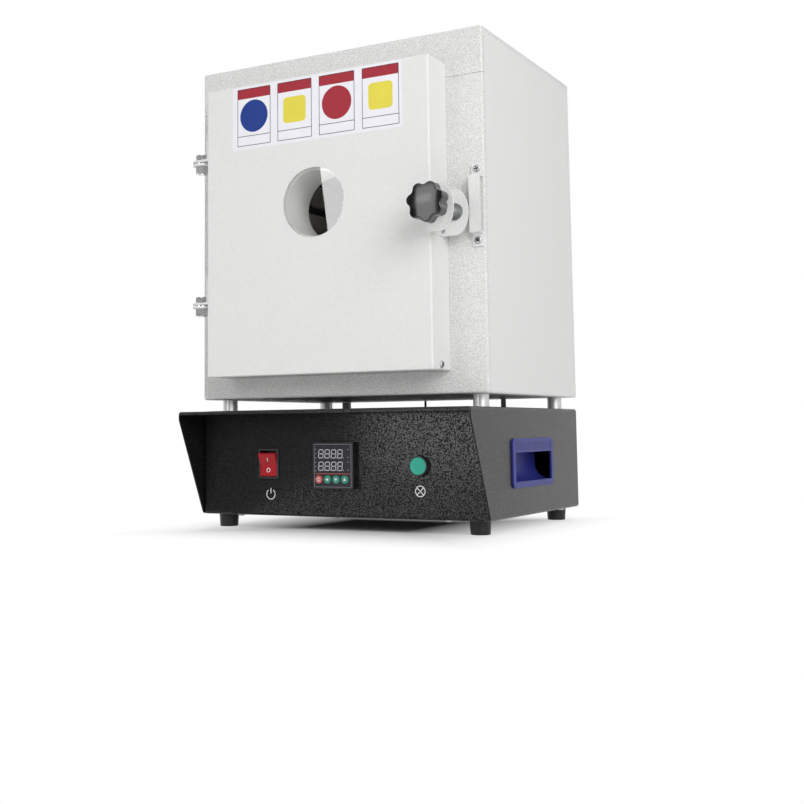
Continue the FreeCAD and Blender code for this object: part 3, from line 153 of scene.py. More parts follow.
def powderCoat(name, top, dipShade, grain, coarse, depth, roughness, gloss=0.4, glint=(0.0, 0.0),
               clearRoughness=0.2):
    # glint is how much clear coat lies in the dips and on the peaks of the grain
    paint = Paint(name)
    fine = paint.noise(grain, 2.0, 0.5)
    broad = paint.noise(coarse, 2.0, 0.45)
    cloudy = paint.noise(coatLook["cloud"], 4.0, 0.6)
    height = fine * 0.5 + broad * 0.5
    # painted shade: the low spots of the bump height take the darker dip colour, mixed with a little random
    # cloudy tone
    tone = paint.level(height, *coatLook["toneRange"])
    share = coatLook["toneShare"]
    base = paint.blend(tone * share + cloudy * (1 - share), fromHex(dipShade), fromHex(top))
    rough = paint.level(fine, 0.2, 0.8, roughness - 0.08, roughness + 0.1)
    clear = paint.level(height, *coatLook["sparkleRange"], *glint)
    return paint.finish(Base_Color=base, Roughness=rough, Specular_IOR_Level=gloss, Coat_Weight=clear,
                        Coat_Roughness=clearRoughness, Normal=paint.bump(height, depth))


whiteCoat = powderCoat("whiteCoat", **coatLook["front"])
doorCoat = powderCoat("doorCoat", **coatLook["door"])
whiteCoatSmooth = powderCoat("whiteCoatSmooth", **coatLook["side"])
blackCoat = powderCoat("blackCoat", **coatLook["base"])
panelCoatLit = powderCoat("panelCoatLit", **coatLook["panel"])


# bare metals
metalLook = dict(stain=140, stainShade=0.72, scratchDepth=0.00004, scratchStrength=0.6)


def metal(name, code, roughness, scratch=0.12, direction=(60, 900, 60)):
    # direction is how many scratches a metre holds along X, Y and Z
    look = metalLook
    colour = fromHex(code)
    paint = Paint(name)
    brushed = paint.noise(1.0, 3.0, 0.6, paint.stretched(*direction))
    stains = paint.noise(look["stain"], 4.0, 0.65)
    shade = paint.blend(stains * 0.5, colour, tuple(c * look["stainShade"] for c in colour))
    rough = paint.level(brushed + stains * 0.5, 0.4, 1.1, roughness, roughness + scratch)
    return paint.finish(Base_Color=shade, Metallic=1.0, Roughness=rough,
                        Normal=paint.bump(brushed, look["scratchDepth"], look["scratchStrength"]))


zincPlate = metal("zincPlate", "#DCDDDF", 0.14)
satinSteel = metal("satinSteel", "#B9B9B7", 0.34, direction=(900, 60, 60))
darkWasher = metal("darkWasher", "#A8A9AA", 0.3)
screwSteel = metal("screwSteel", "#BCBDBF", 0.24)
# painted shade: a dark steel for the faces of each screw's cross recess, standing in for the shade inside it
recessShadeSteel = metal("recessShadeSteel", "#303133", 0.5)
turnedPost = metal("turnedPost", "#D6D7D7", 0.36, direction=(60, 60, 1200))
darkWire = metal("darkWire", "#3C3C3E", 0.45)
heatedWire = metal("heatedWire", "#59504A", 0.55, 0.2)
finnedSink = metal("finnedSink", "#B4B6B8", 0.4)


# plastics, rubber and sleeve
mouldLook = dict(wear=60, wornShade=0.86, wornLift=0.004)


def moulded(name, code, roughness, grain=900, depth=0.00004, gloss=0.5):
    look = mouldLook
    colour = fromHex(code)
    paint = Paint(name)
    pores = paint.noise(grain, 2.0, 0.5)
    wear = paint.noise(look["wear"], 4.0, 0.6)
    worn = tuple(c * look["wornShade"] + look["wornLift"] for c in colour)
    shade = paint.blend(paint.level(wear, 0.35, 0.75), colour, worn)
    rough = paint.level(pores + wear, 0.6, 1.4, roughness - 0.05, roughness + 0.08)
    return paint.finish(Base_Color=shade, Roughness=rough, Specular_IOR_Level=gloss,
                        Normal=paint.bump(pores, depth))


knobPlastic = moulded("knobPlastic", "#101012", 0.1, 1500, 0.000008, gloss=0.7)
blackPlastic = moulded("blackPlastic", "#1C1D20", 0.42)
darkPlastic = moulded("darkPlastic", "#141517", 0.3)
bluePlastic = moulded("bluePlastic", "#282E80", 0.4, 700, 0.00006, gloss=0.3)
rockerRed = moulded("rockerRed", "#AE1A25", 0.3, 1500, 0.00001, gloss=0.25)
lensTeal = moulded("lensTeal", "#2BAE95", 0.3, 1500, 0.00001, gloss=0.3)
keyRed = moulded("keyRed", "#C4574F", 0.4)
keyGreen = moulded("keyGreen", "#2E8C77", 0.4)
faceFilm = moulded("faceFilm", "#1E1E28", 0.3, 1500, 0.00001, gloss=0.3)
rubber = moulded("rubber", "#0B0B0C", 0.42, 500, 0.00004, gloss=0.4)
blackRelay = moulded("blackRelay", "#202124", 0.5)
printWhite = moulded("printWhite", "#EDEDED", 0.55)
printGrey = moulded("printGrey", "#CBCBD4", 0.4)
printOrange = moulded("printOrange", "#B5503A", 0.4)
greyDash = moulded("greyDash", "#8D8D96", 0.4)


sleeveLook = dict(strands=420.0, twist=0.6, thread="#8E8E90", crown="#BEBEC0", depth=0.0004)


def braidedSleeve():
    look = sleeveLook
    paint = Paint("braidedSleeve")
    bands = {"wave_type": "BANDS", "bands_direction": "DIAGONAL"}
    strands = [paint.node("ShaderNodeTexWave", bands,
                          {"Vector": place, "Scale": look["strands"], "Distortion": look["twist"]})
               for place in (paint.place, paint.stretched(-1, 1, 1))]
    weave = strands[0].maths("MAXIMUM", strands[1])
    shade = paint.blend(weave, fromHex(look["thread"]), fromHex(look["crown"]))
    return paint.finish(Base_Color=shade, Roughness=0.75, Normal=paint.bump(weave, look["depth"]))


sleeve = braidedSleeve()


# fibre board, ceramic and glass
fibreLook = dict(strand=(180, 420, 180), clump=90, speck=520, speckLevel=0.68, light="#EFEDE7",
                 shade="#D2CFC6", speckTone="#A79E8C", depth=0.0006)
ceramicLook = dict(fine=260, cloud=24, light="#FAFAF8", shade="#F1F0ED", depth=0.00005)
glassLook = dict(mirror=0.125, slantPower=5.0, slantGain=0.6, haze=30, hazeRoughness=0.02)


def fibreBoard():
    look = fibreLook
    paint = Paint("fibreBoard")
    strands = paint.noise(1.0, 5.0, 0.65, paint.stretched(*look["strand"]))
    clumps = paint.noise(look["clump"], 5.0, 0.7)
    specks = paint.noise(look["speck"], 2.0, 0.6)
    shade = paint.blend(paint.level(clumps + strands, 0.7, 1.35), fromHex(look["light"]),
                        fromHex(look["shade"]))
    shade = paint.blend((specks > look["speckLevel"]) * 0.35, shade, fromHex(look["speckTone"]))
    height = strands * 0.6 + clumps * 0.5 + specks * 0.25
    return paint.finish(Base_Color=shade, Roughness=0.95, Normal=paint.bump(height, look["depth"]))


def whiteCeramic():
    look = ceramicLook
    paint = Paint("whiteCeramic")
    fine = paint.noise(look["fine"], 3.0, 0.5)
    cloudy = paint.noise(look["cloud"], 3.0, 0.5)
    shade = paint.blend(paint.level(cloudy, 0.3, 0.7), fromHex(look["light"]), fromHex(look["shade"]))
    return paint.finish(Base_Color=shade, Roughness=0.4, Normal=paint.bump(fine, look["depth"]))


def clearGlass():
    # thin mirror film on the outer face, so that light passes to the tube behind
    look = glassLook
    low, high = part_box("window_glass")
    paint = Paint("clearGlass")
    haze = paint.noise(look["haze"], 3.0, 0.5)
    slant = paint.node("ShaderNodeLayerWeight", None, {"Blend": 0.5}, out="Facing")
    mirror = slant.maths("POWER", look["slantPower"]) * look["slantGain"] + look["mirror"]
    depth = paint.node("ShaderNodeSeparateXYZ", None, {"Vector": paint.place}, out="Y")
    outer = 1 - (depth > (low.y + high.y) / 2)
    return paint.finish(Base_Color=(1.0, 1.0, 1.0), Metallic=1.0, Alpha=mirror * outer,
                        Roughness=paint.level(haze, 0.3, 0.8, 0.0, look["hazeRoughness"]))


fibre = fibreBoard()
ceramic = whiteCeramic()
glass = clearGlass()


# label film
vinylLook = dict(soft=40, shade=0.93, depth=0.00003)


def vinyl(name, code):
    colour = fromHex(code)
    paint = Paint(name)
    soft = paint.noise(vinylLook["soft"], 3.0, 0.5)
    shade = paint.blend(paint.level(soft, 0.3, 0.7) * 0.5, colour,
                        tuple(c * vinylLook["shade"] for c in colour))
    return paint.finish(Base_Color=shade, Roughness=0.45, Specular_IOR_Level=0.2,
                        Normal=paint.bump(soft, vinylLook["depth"]))


vinylWhite = vinyl("vinylWhite", "#F3F2F8")
vinylRed = vinyl("vinylRed", "#A5303C")
vinylYellow = vinyl("vinylYellow", "#E8DB52")
vinylBlue = vinyl("vinylBlue", "#1F3E8C")
vinylDark = vinyl("vinylDark", "#2A2A2C")
print("finishes made")

# which finish each CAD node wears
nodeFinish = {
    whiteCoat: ["front_panel", "top_cover"],
    doorCoat: ["door_skin", "latch_bracket", "strike_strap", "body_hinge_brackets", "door_hinge_brackets"],
    whiteCoatSmooth: ["side_panel_left", "side_panel_right", "housing_floor", "rear_cover"],
    blackCoat: ["base_shell", "base_floor", "base_rear_panel"],
    panelCoatLit: ["control_panel"],
    zincPlate: ["hinge_bolts", "hinge_nuts", "post_bolts", "latch_shaft", "coil_link"],
    darkWire: ["earth_wire"],
    satinSteel: ["door_back_plate", "latch_tongue", "thermocouple", "inlet_pins"],
    darkWasher: ["latch_collar"],
    turnedPost: ["spacer_posts"],
    finnedSink: ["heat_sink"],
    knobPlastic: ["star_knob"],
    blackPlastic: ["switch_housing", "lamp_bezel", "inlet_housing", "terminal_block"],
    darkPlastic: ["controller_housing"],
    blackRelay: ["solid_state_relay"],
    bluePlastic: ["handle_left", "handle_right"],
    rockerRed: ["rocker_button"],
    lensTeal: ["lamp_lens"],
    keyRed: ["key_set"],
    keyGreen: ["key_left", "key_down", "key_up"],
    faceFilm: ["controller_plate"],
    rubber: ["rubber_feet"],
    sleeve: ["chamber_leads"],
    fibre: ["chamber_floor", "chamber_roof", "chamber_wall_left", "chamber_wall_right",
            "chamber_rear_wall", "backing_insulation", "door_insulation"],
    ceramic: ["window_tube"],
    glass: ["window_glass"],
}
for finish, names in nodeFinish.items():
    for name in names:
        mesh = frame["nodes"][name].data
        mesh.materials.clear()
        mesh.materials.append(finish)
print("frame nodes painted")


# builders that the pieces share
def addPiece(name, bm, finish, body):
    mesh = bpy.data.meshes.new(name)
    bmesh.ops.recalc_face_normals(bm, faces=bm.faces)
    bm.to_mesh(mesh)
    bm.free()
    mesh.materials.append(finish)
    piece = bpy.data.objects.new(name, mesh)
    scene.collection.objects.link(piece)
    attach(piece, body)


def addSlab(bm, outline, thickness, place):
    # outline lies in X and Z, its front faces -Y at y = 0, and the slab grows forward from there
    rings = []
    for y in (0, -thickness):
        rings.append([bm.verts.new(place @ Vector((x, y, z))) for x, z in outline])
    back, front = rings
    bm.faces.new(front)
    bm.faces.new(back[::-1])
    for i in range(len(outline)):
        j = (i + 1) % len(outline)
        bm.faces.new((back[i], back[j], front[j], front[i]))


def roundedRectangle(x, z, width, height, radius, steps=5):
    points = []
    for cornerX, cornerZ, start in ((1, 1, 0), (-1, 1, 90), (-1, -1, 180), (1, -1, 270)):
        for step in range(steps + 1):
            turn = math.radians(start + 90 * step / steps)
            points.append((x + cornerX * (width / 2 - radius) + radius * math.cos(turn),
                           z + cornerZ * (height / 2 - radius) + radius * math.sin(turn)))
    return points


def disc(x, z, radius, steps):
    return [(x + radius * math.cos(math.tau * i / steps), z + radius * math.sin(math.tau * i / steps))
            for i in range(steps)]


def addBand(bm, x, z, radius, width, start, end, thickness, place, steps):
    # a curved stroke made of short slabs that share their ends
    turns = [math.radians(start + (end - start) * i / steps) for i in range(steps + 1)]
    inner, outer = radius - width / 2, radius + width / 2
    for a, b in zip(turns, turns[1:]):
        corners = [(inner, a), (outer, a), (outer, b), (inner, b)]
        addSlab(bm, [(x + r * math.cos(t), z + r * math.sin(t)) for r, t in corners], thickness, place)


def addStroke(bm, x0, z0, x1, z1, width, thickness, place):
    length = math.hypot(x1 - x0, z1 - z0)
    sideX, sideZ = -(z1 - z0) / length * width / 2, (x1 - x0) / length * width / 2
    addSlab(bm, [(x0 + sideX, z0 + sideZ), (x0 - sideX, z0 - sideZ), (x1 - sideX, z1 - sideZ),
                 (x1 + sideX, z1 + sideZ)], thickness, place)


# a Geometry Nodes tree, and the plain mesh that it grows
class GrowthTree:
    def __init__(self, name, inputs):
        self.group = bpy.data.node_groups.new(name, "GeometryNodeTree")
        for label, kind in inputs:
            self.group.interface.new_socket(label, in_out="INPUT", socket_type=kind)
        self.group.interface.new_socket("Geometry", in_out="OUTPUT", socket_type="NodeSocketGeometry")
        self.entry = self.group.nodes.new("NodeGroupInput")
        self.exit = self.group.nodes.new("NodeGroupOutput")

    def given(self, label):
        return self.entry.outputs[label]

    def node(self, kind, settings=None, sockets=None, out=0):
        made = self.group.nodes.new(kind)
        for key, value in (settings or {}).items():
            setattr(made, key, value)
        for key, value in (sockets or {}).items():
            if isinstance(value, bpy.types.NodeSocket):
                self.group.links.new(value, made.inputs[key])
            else:
                made.inputs[key].default_value = value
        return made.outputs[out]

    def sum(self, operation, *values):
        return self.node("ShaderNodeMath", {"operation": operation}, dict(enumerate(values)))

    def close(self, geometry, recess=None):
        real = self.node("GeometryNodeRealizeInstances", None, {"Geometry": geometry})
        dressed = self.node("GeometryNodeSetMaterial", None, {"Geometry": real,
                                                              "Material": self.given("Finish")})
        # the faces in the recess get the painted shade material
        if recess:
            dressed = self.node("GeometryNodeSetMaterial", None, {"Geometry": dressed, "Selection": recess,
                                                                  "Material": self.given("Recess painted shade")})
        self.group.links.new(dressed, self.exit.inputs["Geometry"])
        return self.group


def grow(name, source, group, values, body):
    modifier = source.modifiers.new("growth", "NODES")
    modifier.node_group = group
    for item in group.interface.items_tree:
        if item.in_out == "INPUT" and item.name in values:
            modifier[item.identifier] = values[item.name]
    source.update_tag()
    bpy.context.view_layer.update()
    evaluated = source.evaluated_get(bpy.context.evaluated_depsgraph_get())
    mesh = bpy.data.meshes.new_from_object(evaluated)
    mesh.name = name
    source.modifiers.remove(modifier)
    bpy.data.objects.remove(source)
    piece = bpy.data.objects.new(name, mesh)
    scene.collection.objects.link(piece)
    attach(piece, body)
    return piece


# pan head screws with a cross recess painted dark as its shade, in millimetres
screwLook = dict(headRadius=3.8, headHeight=1.8, shankRadius=2.0, shankLength=5.0, recessReach=2.55,
                 recessWidth=1.15, recessDepth=1.6, recessFoot=(0.5, 0.7), recessMouth=(1.12, 1.15),
                 recessClear=0.4, crown=((1, 0.34), (0.965, 0.56), (0.86, 0.79), (0.62, 0.94)),
                 steps=28, softAngle=40, headFrom=2.6)
screwRows = (("base_screws", "housing", 3), ("casing_screws", "housing", 8), ("latch_screws", "door", 5))


def screwMaster():
    look = screwLook
    r, h = look["headRadius"], look["headHeight"]
    shank, tip = look["shankRadius"], -look["shankLength"]
    crown = [(r * across, h * up) for across, up in look["crown"]]
    profile = [(0, tip), (shank, tip), (shank, 0), (r, 0), *crown, (0, h)]
    bm = bmesh.new()
    rings = []
    for radius, z in profile:
        if radius == 0:
            rings.append([bm.verts.new((0, 0, z))])
            continue
        turns = [math.tau * i / look["steps"] for i in range(look["steps"])]
        rings.append([bm.verts.new((radius * math.cos(t), radius * math.sin(t), z)) for t in turns])
    for low, high in zip(rings, rings[1:]):
        count = max(len(low), len(high))
        for i in range(count):
            j = (i + 1) % count
            corners = [low[i % len(low)], low[j % len(low)], high[j % len(high)], high[i % len(high)]]
            bm.faces.new(list(dict.fromkeys(corners)))
    bmesh.ops.recalc_face_normals(bm, faces=bm.faces)
    mesh = bpy.data.meshes.new("screwMaster")
    bm.to_mesh(mesh)
    bm.free()
    master = bpy.data.objects.new("screwMaster", mesh)
    cutters = bmesh.new()
    for turned in (0, 90):
        spin = Matrix.Rotation(math.radians(turned), 4, "Z")
        corners = []
        for z, (reach, width) in ((h - look["recessDepth"], look["recessFoot"]),
                                  (h + look["recessClear"], look["recessMouth"])):
            x, y = look["recessReach"] * reach, look["recessWidth"] * width / 2
            ring = ((-x, -y, z), (x, -y, z), (x, y, z), (-x, y, z))
            corners.append([cutters.verts.new(spin @ Vector(corner)) for corner in ring])
        low, high = corners
        cutters.faces.new(low[::-1])
        cutters.faces.new(high)
        for i in range(4):
            j = (i + 1) % 4
            cutters.faces.new((low[i], low[j], high[j], high[i]))
    cutMesh = bpy.data.meshes.new("screwRecess")
    cutters.to_mesh(cutMesh)
    cutters.free()
    cutter = bpy.data.objects.new("screwRecess", cutMesh)
    for thing in (master, cutter):
        scene.collection.objects.link(thing)
    carve = master.modifiers.new("recess", "BOOLEAN")
    carve.object = cutter
    carve.operation = "DIFFERENCE"
    carve.solver = "EXACT"
    carve.use_self = True
    carve.material_mode = "TRANSFER"
    master.data.materials.append(screwSteel)
    # the cutter's faces line the recess and carry the painted shade steel
    cutMesh.materials.append(recessShadeSteel)
    bpy.context.view_layer.update()
    carved = bpy.data.meshes.new_from_object(master.evaluated_get(bpy.context.evaluated_depsgraph_get()))
    master.modifiers.remove(carve)
    bpy.data.objects.remove(cutter)
    master.data = carved
    inRecess = carved.attributes.new("recess", "BOOLEAN", "FACE")
    recessSlot = carved.materials.find("recessShadeSteel")
    for entry, face in zip(inRecess.data, carved.polygons):
        entry.value = face.material_index == recessSlot
    carved.shade_smooth()
    carved.set_sharp_from_angle(angle=math.radians(look["softAngle"]))
    return master


def screwSeats(node):
    # where each CAD screw sits, and which way its head looks: the wide end is the head
    bm = bmesh.new()
    bm.from_mesh(frame["nodes"][node].data)
    bmesh.ops.remove_doubles(bm, verts=bm.verts, dist=1e-6)
    seats = []
    left = set(bm.verts)
    for first in bm.verts:
        if first not in left:
            continue
        left.discard(first)
        island = [first]
        for vert in island:
            for edge in vert.link_edges:
                other = edge.other_vert(vert)
                if other in left:
                    left.discard(other)
                    island.append(other)
        points = [v.co.copy() for v in island]
        low = Vector([min(p[i] for p in points) for i in range(3)])
        high = Vector([max(p[i] for p in points) for i in range(3)])
        size = high - low
        axis = max(range(3), key=lambda i: size[i])
        middle = (low + high) / 2
        wide = []
        for p in points:
            away = p - middle
            away[axis] = 0
            if away.length > screwLook["headFrom"] * mm:
                wide.append(p[axis])
        outward = 1 if sum(wide) / len(wide) > middle[axis] else -1
        middle[axis] = min(wide) if outward > 0 else max(wide)
        aim = Vector((0, 0, 0))
        aim[axis] = outward
        seats.append((middle, aim))
    bm.free()
    return seats


def screwTree():
    tree = GrowthTree("screwField", [("Geometry", "NodeSocketGeometry"), ("Screw", "NodeSocketObject"),
                                     ("Size", "NodeSocketFloat"), ("Turn seed", "NodeSocketInt"),
                                     ("Finish", "NodeSocketMaterial"),
                                     ("Recess painted shade", "NodeSocketMaterial")])
    aim = tree.node("GeometryNodeInputNamedAttribute", {"data_type": "FLOAT_VECTOR"}, {"Name": "aim"})
    upright = tree.node("FunctionNodeAlignRotationToVector", {"axis": "Z"}, {"Vector": aim})
    turn = tree.node("FunctionNodeRandomValue", {"data_type": "FLOAT"},
                     {2: 0.0, 3: math.pi / 2, "Seed": tree.given("Turn seed")}, out=1)
    spin = tree.node("FunctionNodeAxisAngleToRotation", None, {"Axis": (0, 0, 1), "Angle": turn})
    faced = tree.node("FunctionNodeRotateRotation", {"rotation_space": "LOCAL"},
                      {"Rotation": upright, "Rotate By": spin})
    points = tree.node("GeometryNodeMeshToPoints", None, {"Mesh": tree.given("Geometry")})
    screw = tree.node("GeometryNodeObjectInfo", {"transform_space": "ORIGINAL"},
                      {"Object": tree.given("Screw")}, out="Geometry")
    placed = tree.node("GeometryNodeInstanceOnPoints", None,
                       {"Points": points, "Instance": screw, "Rotation": faced, "Scale": tree.given("Size")})
    recess = tree.node("GeometryNodeInputNamedAttribute", {"data_type": "BOOLEAN"}, {"Name": "recess"})
    return tree.close(placed, recess)


def makeScrews():
    master = screwMaster()
    group = screwTree()
    for node, body, seed in screwRows:
        seats = screwSeats(node)
        mesh = bpy.data.meshes.new(node + "Seats")
        mesh.from_pydata([tuple(place) for place, aim in seats], [], [])
        aims = mesh.attributes.new("aim", "FLOAT_VECTOR", "POINT")
        for entry, (place, aim) in zip(aims.data, seats):
            entry.vector = aim
        source = bpy.data.objects.new(node + "Seats", mesh)
        scene.collection.objects.link(source)
        piece = grow(node + "Crossed", source, group,
                     {"Screw": master, "Size": mm, "Turn seed": seed, "Finish": screwSteel,
                      "Recess painted shade": recessShadeSteel}, body)
        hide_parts(node)
    bpy.data.objects.remove(master)
    print("screws set")


makeScrews()


# wound heating coils in the grooves of the side walls
coilLook = dict(runs=4, wireRadius=0.65 * mm, wireSides=6, pitch=3.3 * mm, pointsPerTurn=12,
                bend=6.2 * mm, bendSteps=6, rearMargin=14.0 * mm, coilRadius=4.0 * mm)


def coilRoute(node):
    # up and down the wall in level runs, with rounded ends, from the lower tail to the upper one
    low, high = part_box(node)
    radius = coilLook["coilRadius"]
    x = (low.x + high.x) / 2
    front = low.y + radius
    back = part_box("chamber_rear_wall")[0].y - coilLook["rearMargin"]
    count = coilLook["runs"]
    levels = [low.z + radius + (high.z - low.z - 2 * radius) * i / (count - 1) for i in range(count)]
    corners = [Vector((x, high.y, levels[0]))]
    for i, z in enumerate(levels):
        near, far = (front, back) if i % 2 == 0 else (back, front)
        if i:
            corners.append(Vector((x, far, z)))
        corners.append(Vector((x, high.y if i == count - 1 else near, z)))
    points = [corners[0]]
    for before, corner, after in zip(corners, corners[1:], corners[2:]):
        start = corner + (before - corner).normalized() * coilLook["bend"]
        end = corner + (after - corner).normalized() * coilLook["bend"]
        for step in range(coilLook["bendSteps"] + 1):
            t = step / coilLook["bendSteps"]
            points.append(start * (1 - t) ** 2 + corner * 2 * t * (1 - t) + end * t ** 2)
    points.append(corners[-1])
    return points


def coilTree():
    tree = GrowthTree("woundCoil", [("Geometry", "NodeSocketGeometry"), ("Coil radius", "NodeSocketFloat"),
                                    ("Wire radius", "NodeSocketFloat"), ("Pitch", "NodeSocketFloat"),
                                    ("Points per turn", "NodeSocketInt"),
                                    ("Wire sides", "NodeSocketInt"), ("Finish", "NodeSocketMaterial")])
    step = tree.sum("DIVIDE", tree.given("Pitch"), tree.given("Points per turn"))
    line = tree.node("GeometryNodeResampleCurve", {"mode": "LENGTH"},
                     {"Curve": tree.given("Geometry"), "Length": step})
    length = tree.node("GeometryNodeSplineParameter", out="Length")
    angle = tree.sum("DIVIDE", tree.sum("MULTIPLY", length, math.tau), tree.given("Pitch"))
    tangent = tree.node("GeometryNodeInputTangent")
    side = tree.node("ShaderNodeVectorMath", {"operation": "CROSS_PRODUCT"}, {0: tangent, 1: (1, 0, 0)})
    across = tree.node("ShaderNodeCombineXYZ", None, {"X": tree.sum("COSINE", angle)})
    along = tree.node("ShaderNodeVectorMath", {"operation": "SCALE"},
                      {0: side, "Scale": tree.sum("SINE", angle)})
    round_ = tree.node("ShaderNodeVectorMath", {"operation": "ADD"}, {0: across, 1: along})
    reach = tree.sum("SUBTRACT", tree.given("Coil radius"), tree.given("Wire radius"))
    offset = tree.node("ShaderNodeVectorMath", {"operation": "SCALE"}, {0: round_, "Scale": reach})
    wound = tree.node("GeometryNodeSetPosition", None, {"Geometry": line, "Offset": offset})
    section = tree.node("GeometryNodeCurvePrimitiveCircle", {"mode": "RADIUS"},
                        {"Resolution": tree.given("Wire sides"), "Radius": tree.given("Wire radius")})
    wire = tree.node("GeometryNodeCurveToMesh", None, {"Curve": wound, "Profile Curve": section,
                                                       "Fill Caps": True})
    return tree.close(wire)


def makeCoils():
    group = coilTree()
    for node in ("heating_coil_left", "heating_coil_right"):
        points = coilRoute(node)
        curve = bpy.data.curves.new(node + "Route", "CURVE")
        curve.dimensions = "3D"
        spline = curve.splines.new("POLY")
        spline.points.add(len(points) - 1)
        for entry, place in zip(spline.points, points):
            entry.co = (*place, 1)
        source = bpy.data.objects.new(node + "Route", curve)
        scene.collection.objects.link(source)
        piece = grow(node + "Wound", source, group,
                     {"Coil radius": coilLook["coilRadius"], "Wire radius": coilLook["wireRadius"],
                      "Pitch": coilLook["pitch"], "Points per turn": coilLook["pointsPerTurn"],
                      "Wire sides": coilLook["wireSides"], "Finish": heatedWire}, "housing")
        piece.data.shade_smooth()
        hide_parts(node)
    print("coils wound")


makeCoils()


# plain label strip with four bare cards on the door
labelLook = dict(left=-102.0 * mm, right=100.8 * mm, bottom=401.0 * mm, top=468.6 * mm, film=0.12 * mm,
                 cardWidth=41.8 * mm, cardHeight=62.0 * mm, cardBottom=404.4 * mm, firstCard=-95.9 * mm,
                 cardPitch=50.6 * mm, bandHeight=10.2 * mm, frameLine=0.65 * mm, print=0.03 * mm,
                 footHeight=10.5 * mm, shapeRise=0.51, discRadius=17.4 * mm, squareWidth=27.5 * mm,
                 squareCorner=0.16, stripCorner=1.5 * mm, frameCorner=0.8 * mm, cardCorner=0.6 * mm,
                 bandCorner=0.4 * mm, cards=("labelBlue", "labelYellow", "labelCrimson", "labelYellow"))


def makeLabels():
    look = labelLook
    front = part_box("door_skin")[0].y
    film, ink, line = look["film"], look["print"], look["frameLine"]
    base, layer, upper, over = [Matrix.Translation((0, front - depth, 0))
                                for depth in (0, film, film + ink, film + 2 * ink)]
    strip = bmesh.new()
    addSlab(strip, roundedRectangle((look["left"] + look["right"]) / 2, (look["bottom"] + look["top"]) / 2,
                                    look["right"] - look["left"], look["top"] - look["bottom"],
                                    look["stripCorner"]), film, base)
    addPiece("labelStrip", strip, vinylWhite, "door")
    frames, cards, bands = bmesh.new(), bmesh.new(), bmesh.new()
    shapes = {"labelBlue": (bmesh.new(), vinylBlue), "labelYellow": (bmesh.new(), vinylYellow),
              "labelCrimson": (bmesh.new(), vinylRed)}
    wide, high = look["cardWidth"], look["cardHeight"]
    middleZ = look["cardBottom"] + high / 2
    top = look["cardBottom"] + high
    foot = look["cardBottom"] + look["footHeight"]
    shapeZ = look["cardBottom"] + high * look["shapeRise"]
    for index, kind in enumerate(look["cards"]):
        x = look["firstCard"] + wide / 2 + index * look["cardPitch"]
        addSlab(frames, roundedRectangle(x, middleZ, wide, high, look["frameCorner"]), ink, layer)
        addSlab(cards, roundedRectangle(x, middleZ, wide - 2 * line, high - 2 * line, look["cardCorner"]),
                ink, upper)
        addSlab(bands, roundedRectangle(x, top - line - look["bandHeight"] / 2, wide - 2 * line,
                                        look["bandHeight"], look["bandCorner"]), ink, over)
        addStroke(frames, x - wide / 2, foot, x + wide / 2, foot, line, ink, over)
        width = look["squareWidth"]
        outline = (roundedRectangle(x, shapeZ, width, width, width * look["squareCorner"])
                   if kind == "labelYellow" else disc(x, shapeZ, look["discRadius"], 56))
        addSlab(shapes[kind][0], outline, ink, over)
    addPiece("labelFrames", frames, vinylDark, "door")
    addPiece("labelCards", cards, vinylWhite, "door")
    addPiece("labelBands", bands, vinylRed, "door")
    for name, (bm, finish) in shapes.items():
        addPiece(name, bm, finish, "door")
    print("label strip laid")


makeLabels()


# plain signs printed on the control panel
signLook = dict(powerX=-81.6 * mm, powerZ=36.5 * mm, lampX=94.5 * mm, lampZ=42.0 * mm, radius=5.2 * mm,
                line=0.9 * mm, ink=0.05 * mm, powerArc=(125, 415), powerStem=(0.1, 1.25))


def makeSigns():
    look = signLook
    panel = Matrix.Translation((0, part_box("control_panel")[0].y, 0))
    ink = bmesh.new()
    r, line = look["radius"], look["line"]
    x, z = look["powerX"], look["powerZ"]
    low, high = look["powerStem"]
    addBand(ink, x, z, r, line, *look["powerArc"], look["ink"], panel, 40)
    addStroke(ink, x, z + low * r, x, z + high * r, line, look["ink"], panel)
    x, z = look["lampX"], look["lampZ"]
    addBand(ink, x, z, r, line, 0, 360, look["ink"], panel, 44)
    reach = (r - line / 2) * math.sqrt(0.5)
    for side in (-1, 1):
        addStroke(ink, x - reach, z - side * reach, x + reach, z + side * reach, line, look["ink"], panel)
    addPiece("panelSigns", ink, printWhite, "housing")


# one mark on each face of the rocker, which is V shaped and stands tilted at rest
rockerLook = dict(fold=11, depth=5.0 * mm, half=12.4 * mm, along=0.46, proud=0.02 * mm, ink=0.05 * mm,
                  barHalf=1.9 * mm, barWidth=0.8 * mm, ringRadius=2.0 * mm, ringWidth=0.75 * mm)


def makeRockerMarks():
    look = rockerLook
    pivot = Vector(next(j for j in frame["joints"] if j["name"] == "rocker_tilt")["pos_m"])
    fold = math.radians(look["fold"])
    along = look["half"] * look["along"]
    sunk = look["depth"] + along * math.tan(fold) + look["proud"]
    marks = bmesh.new()
    for side in (1, -1):
        place = (Matrix.Translation(pivot) @ Matrix.Rotation(fold, 4, "X")
                 @ Matrix.Translation((0, -sunk, side * along)) @ Matrix.Rotation(side * fold, 4, "X"))
        if side > 0:
            addStroke(marks, 0, -look["barHalf"], 0, look["barHalf"], look["barWidth"], look["ink"], place)
        else:
            addBand(marks, 0, 0, look["ringRadius"], look["ringWidth"], 0, 360, look["ink"], place, 32)
    addPiece("rockerMarks", marks, printWhite, "rocker")


makeSigns()
makeRockerMarks()
print("signs printed")


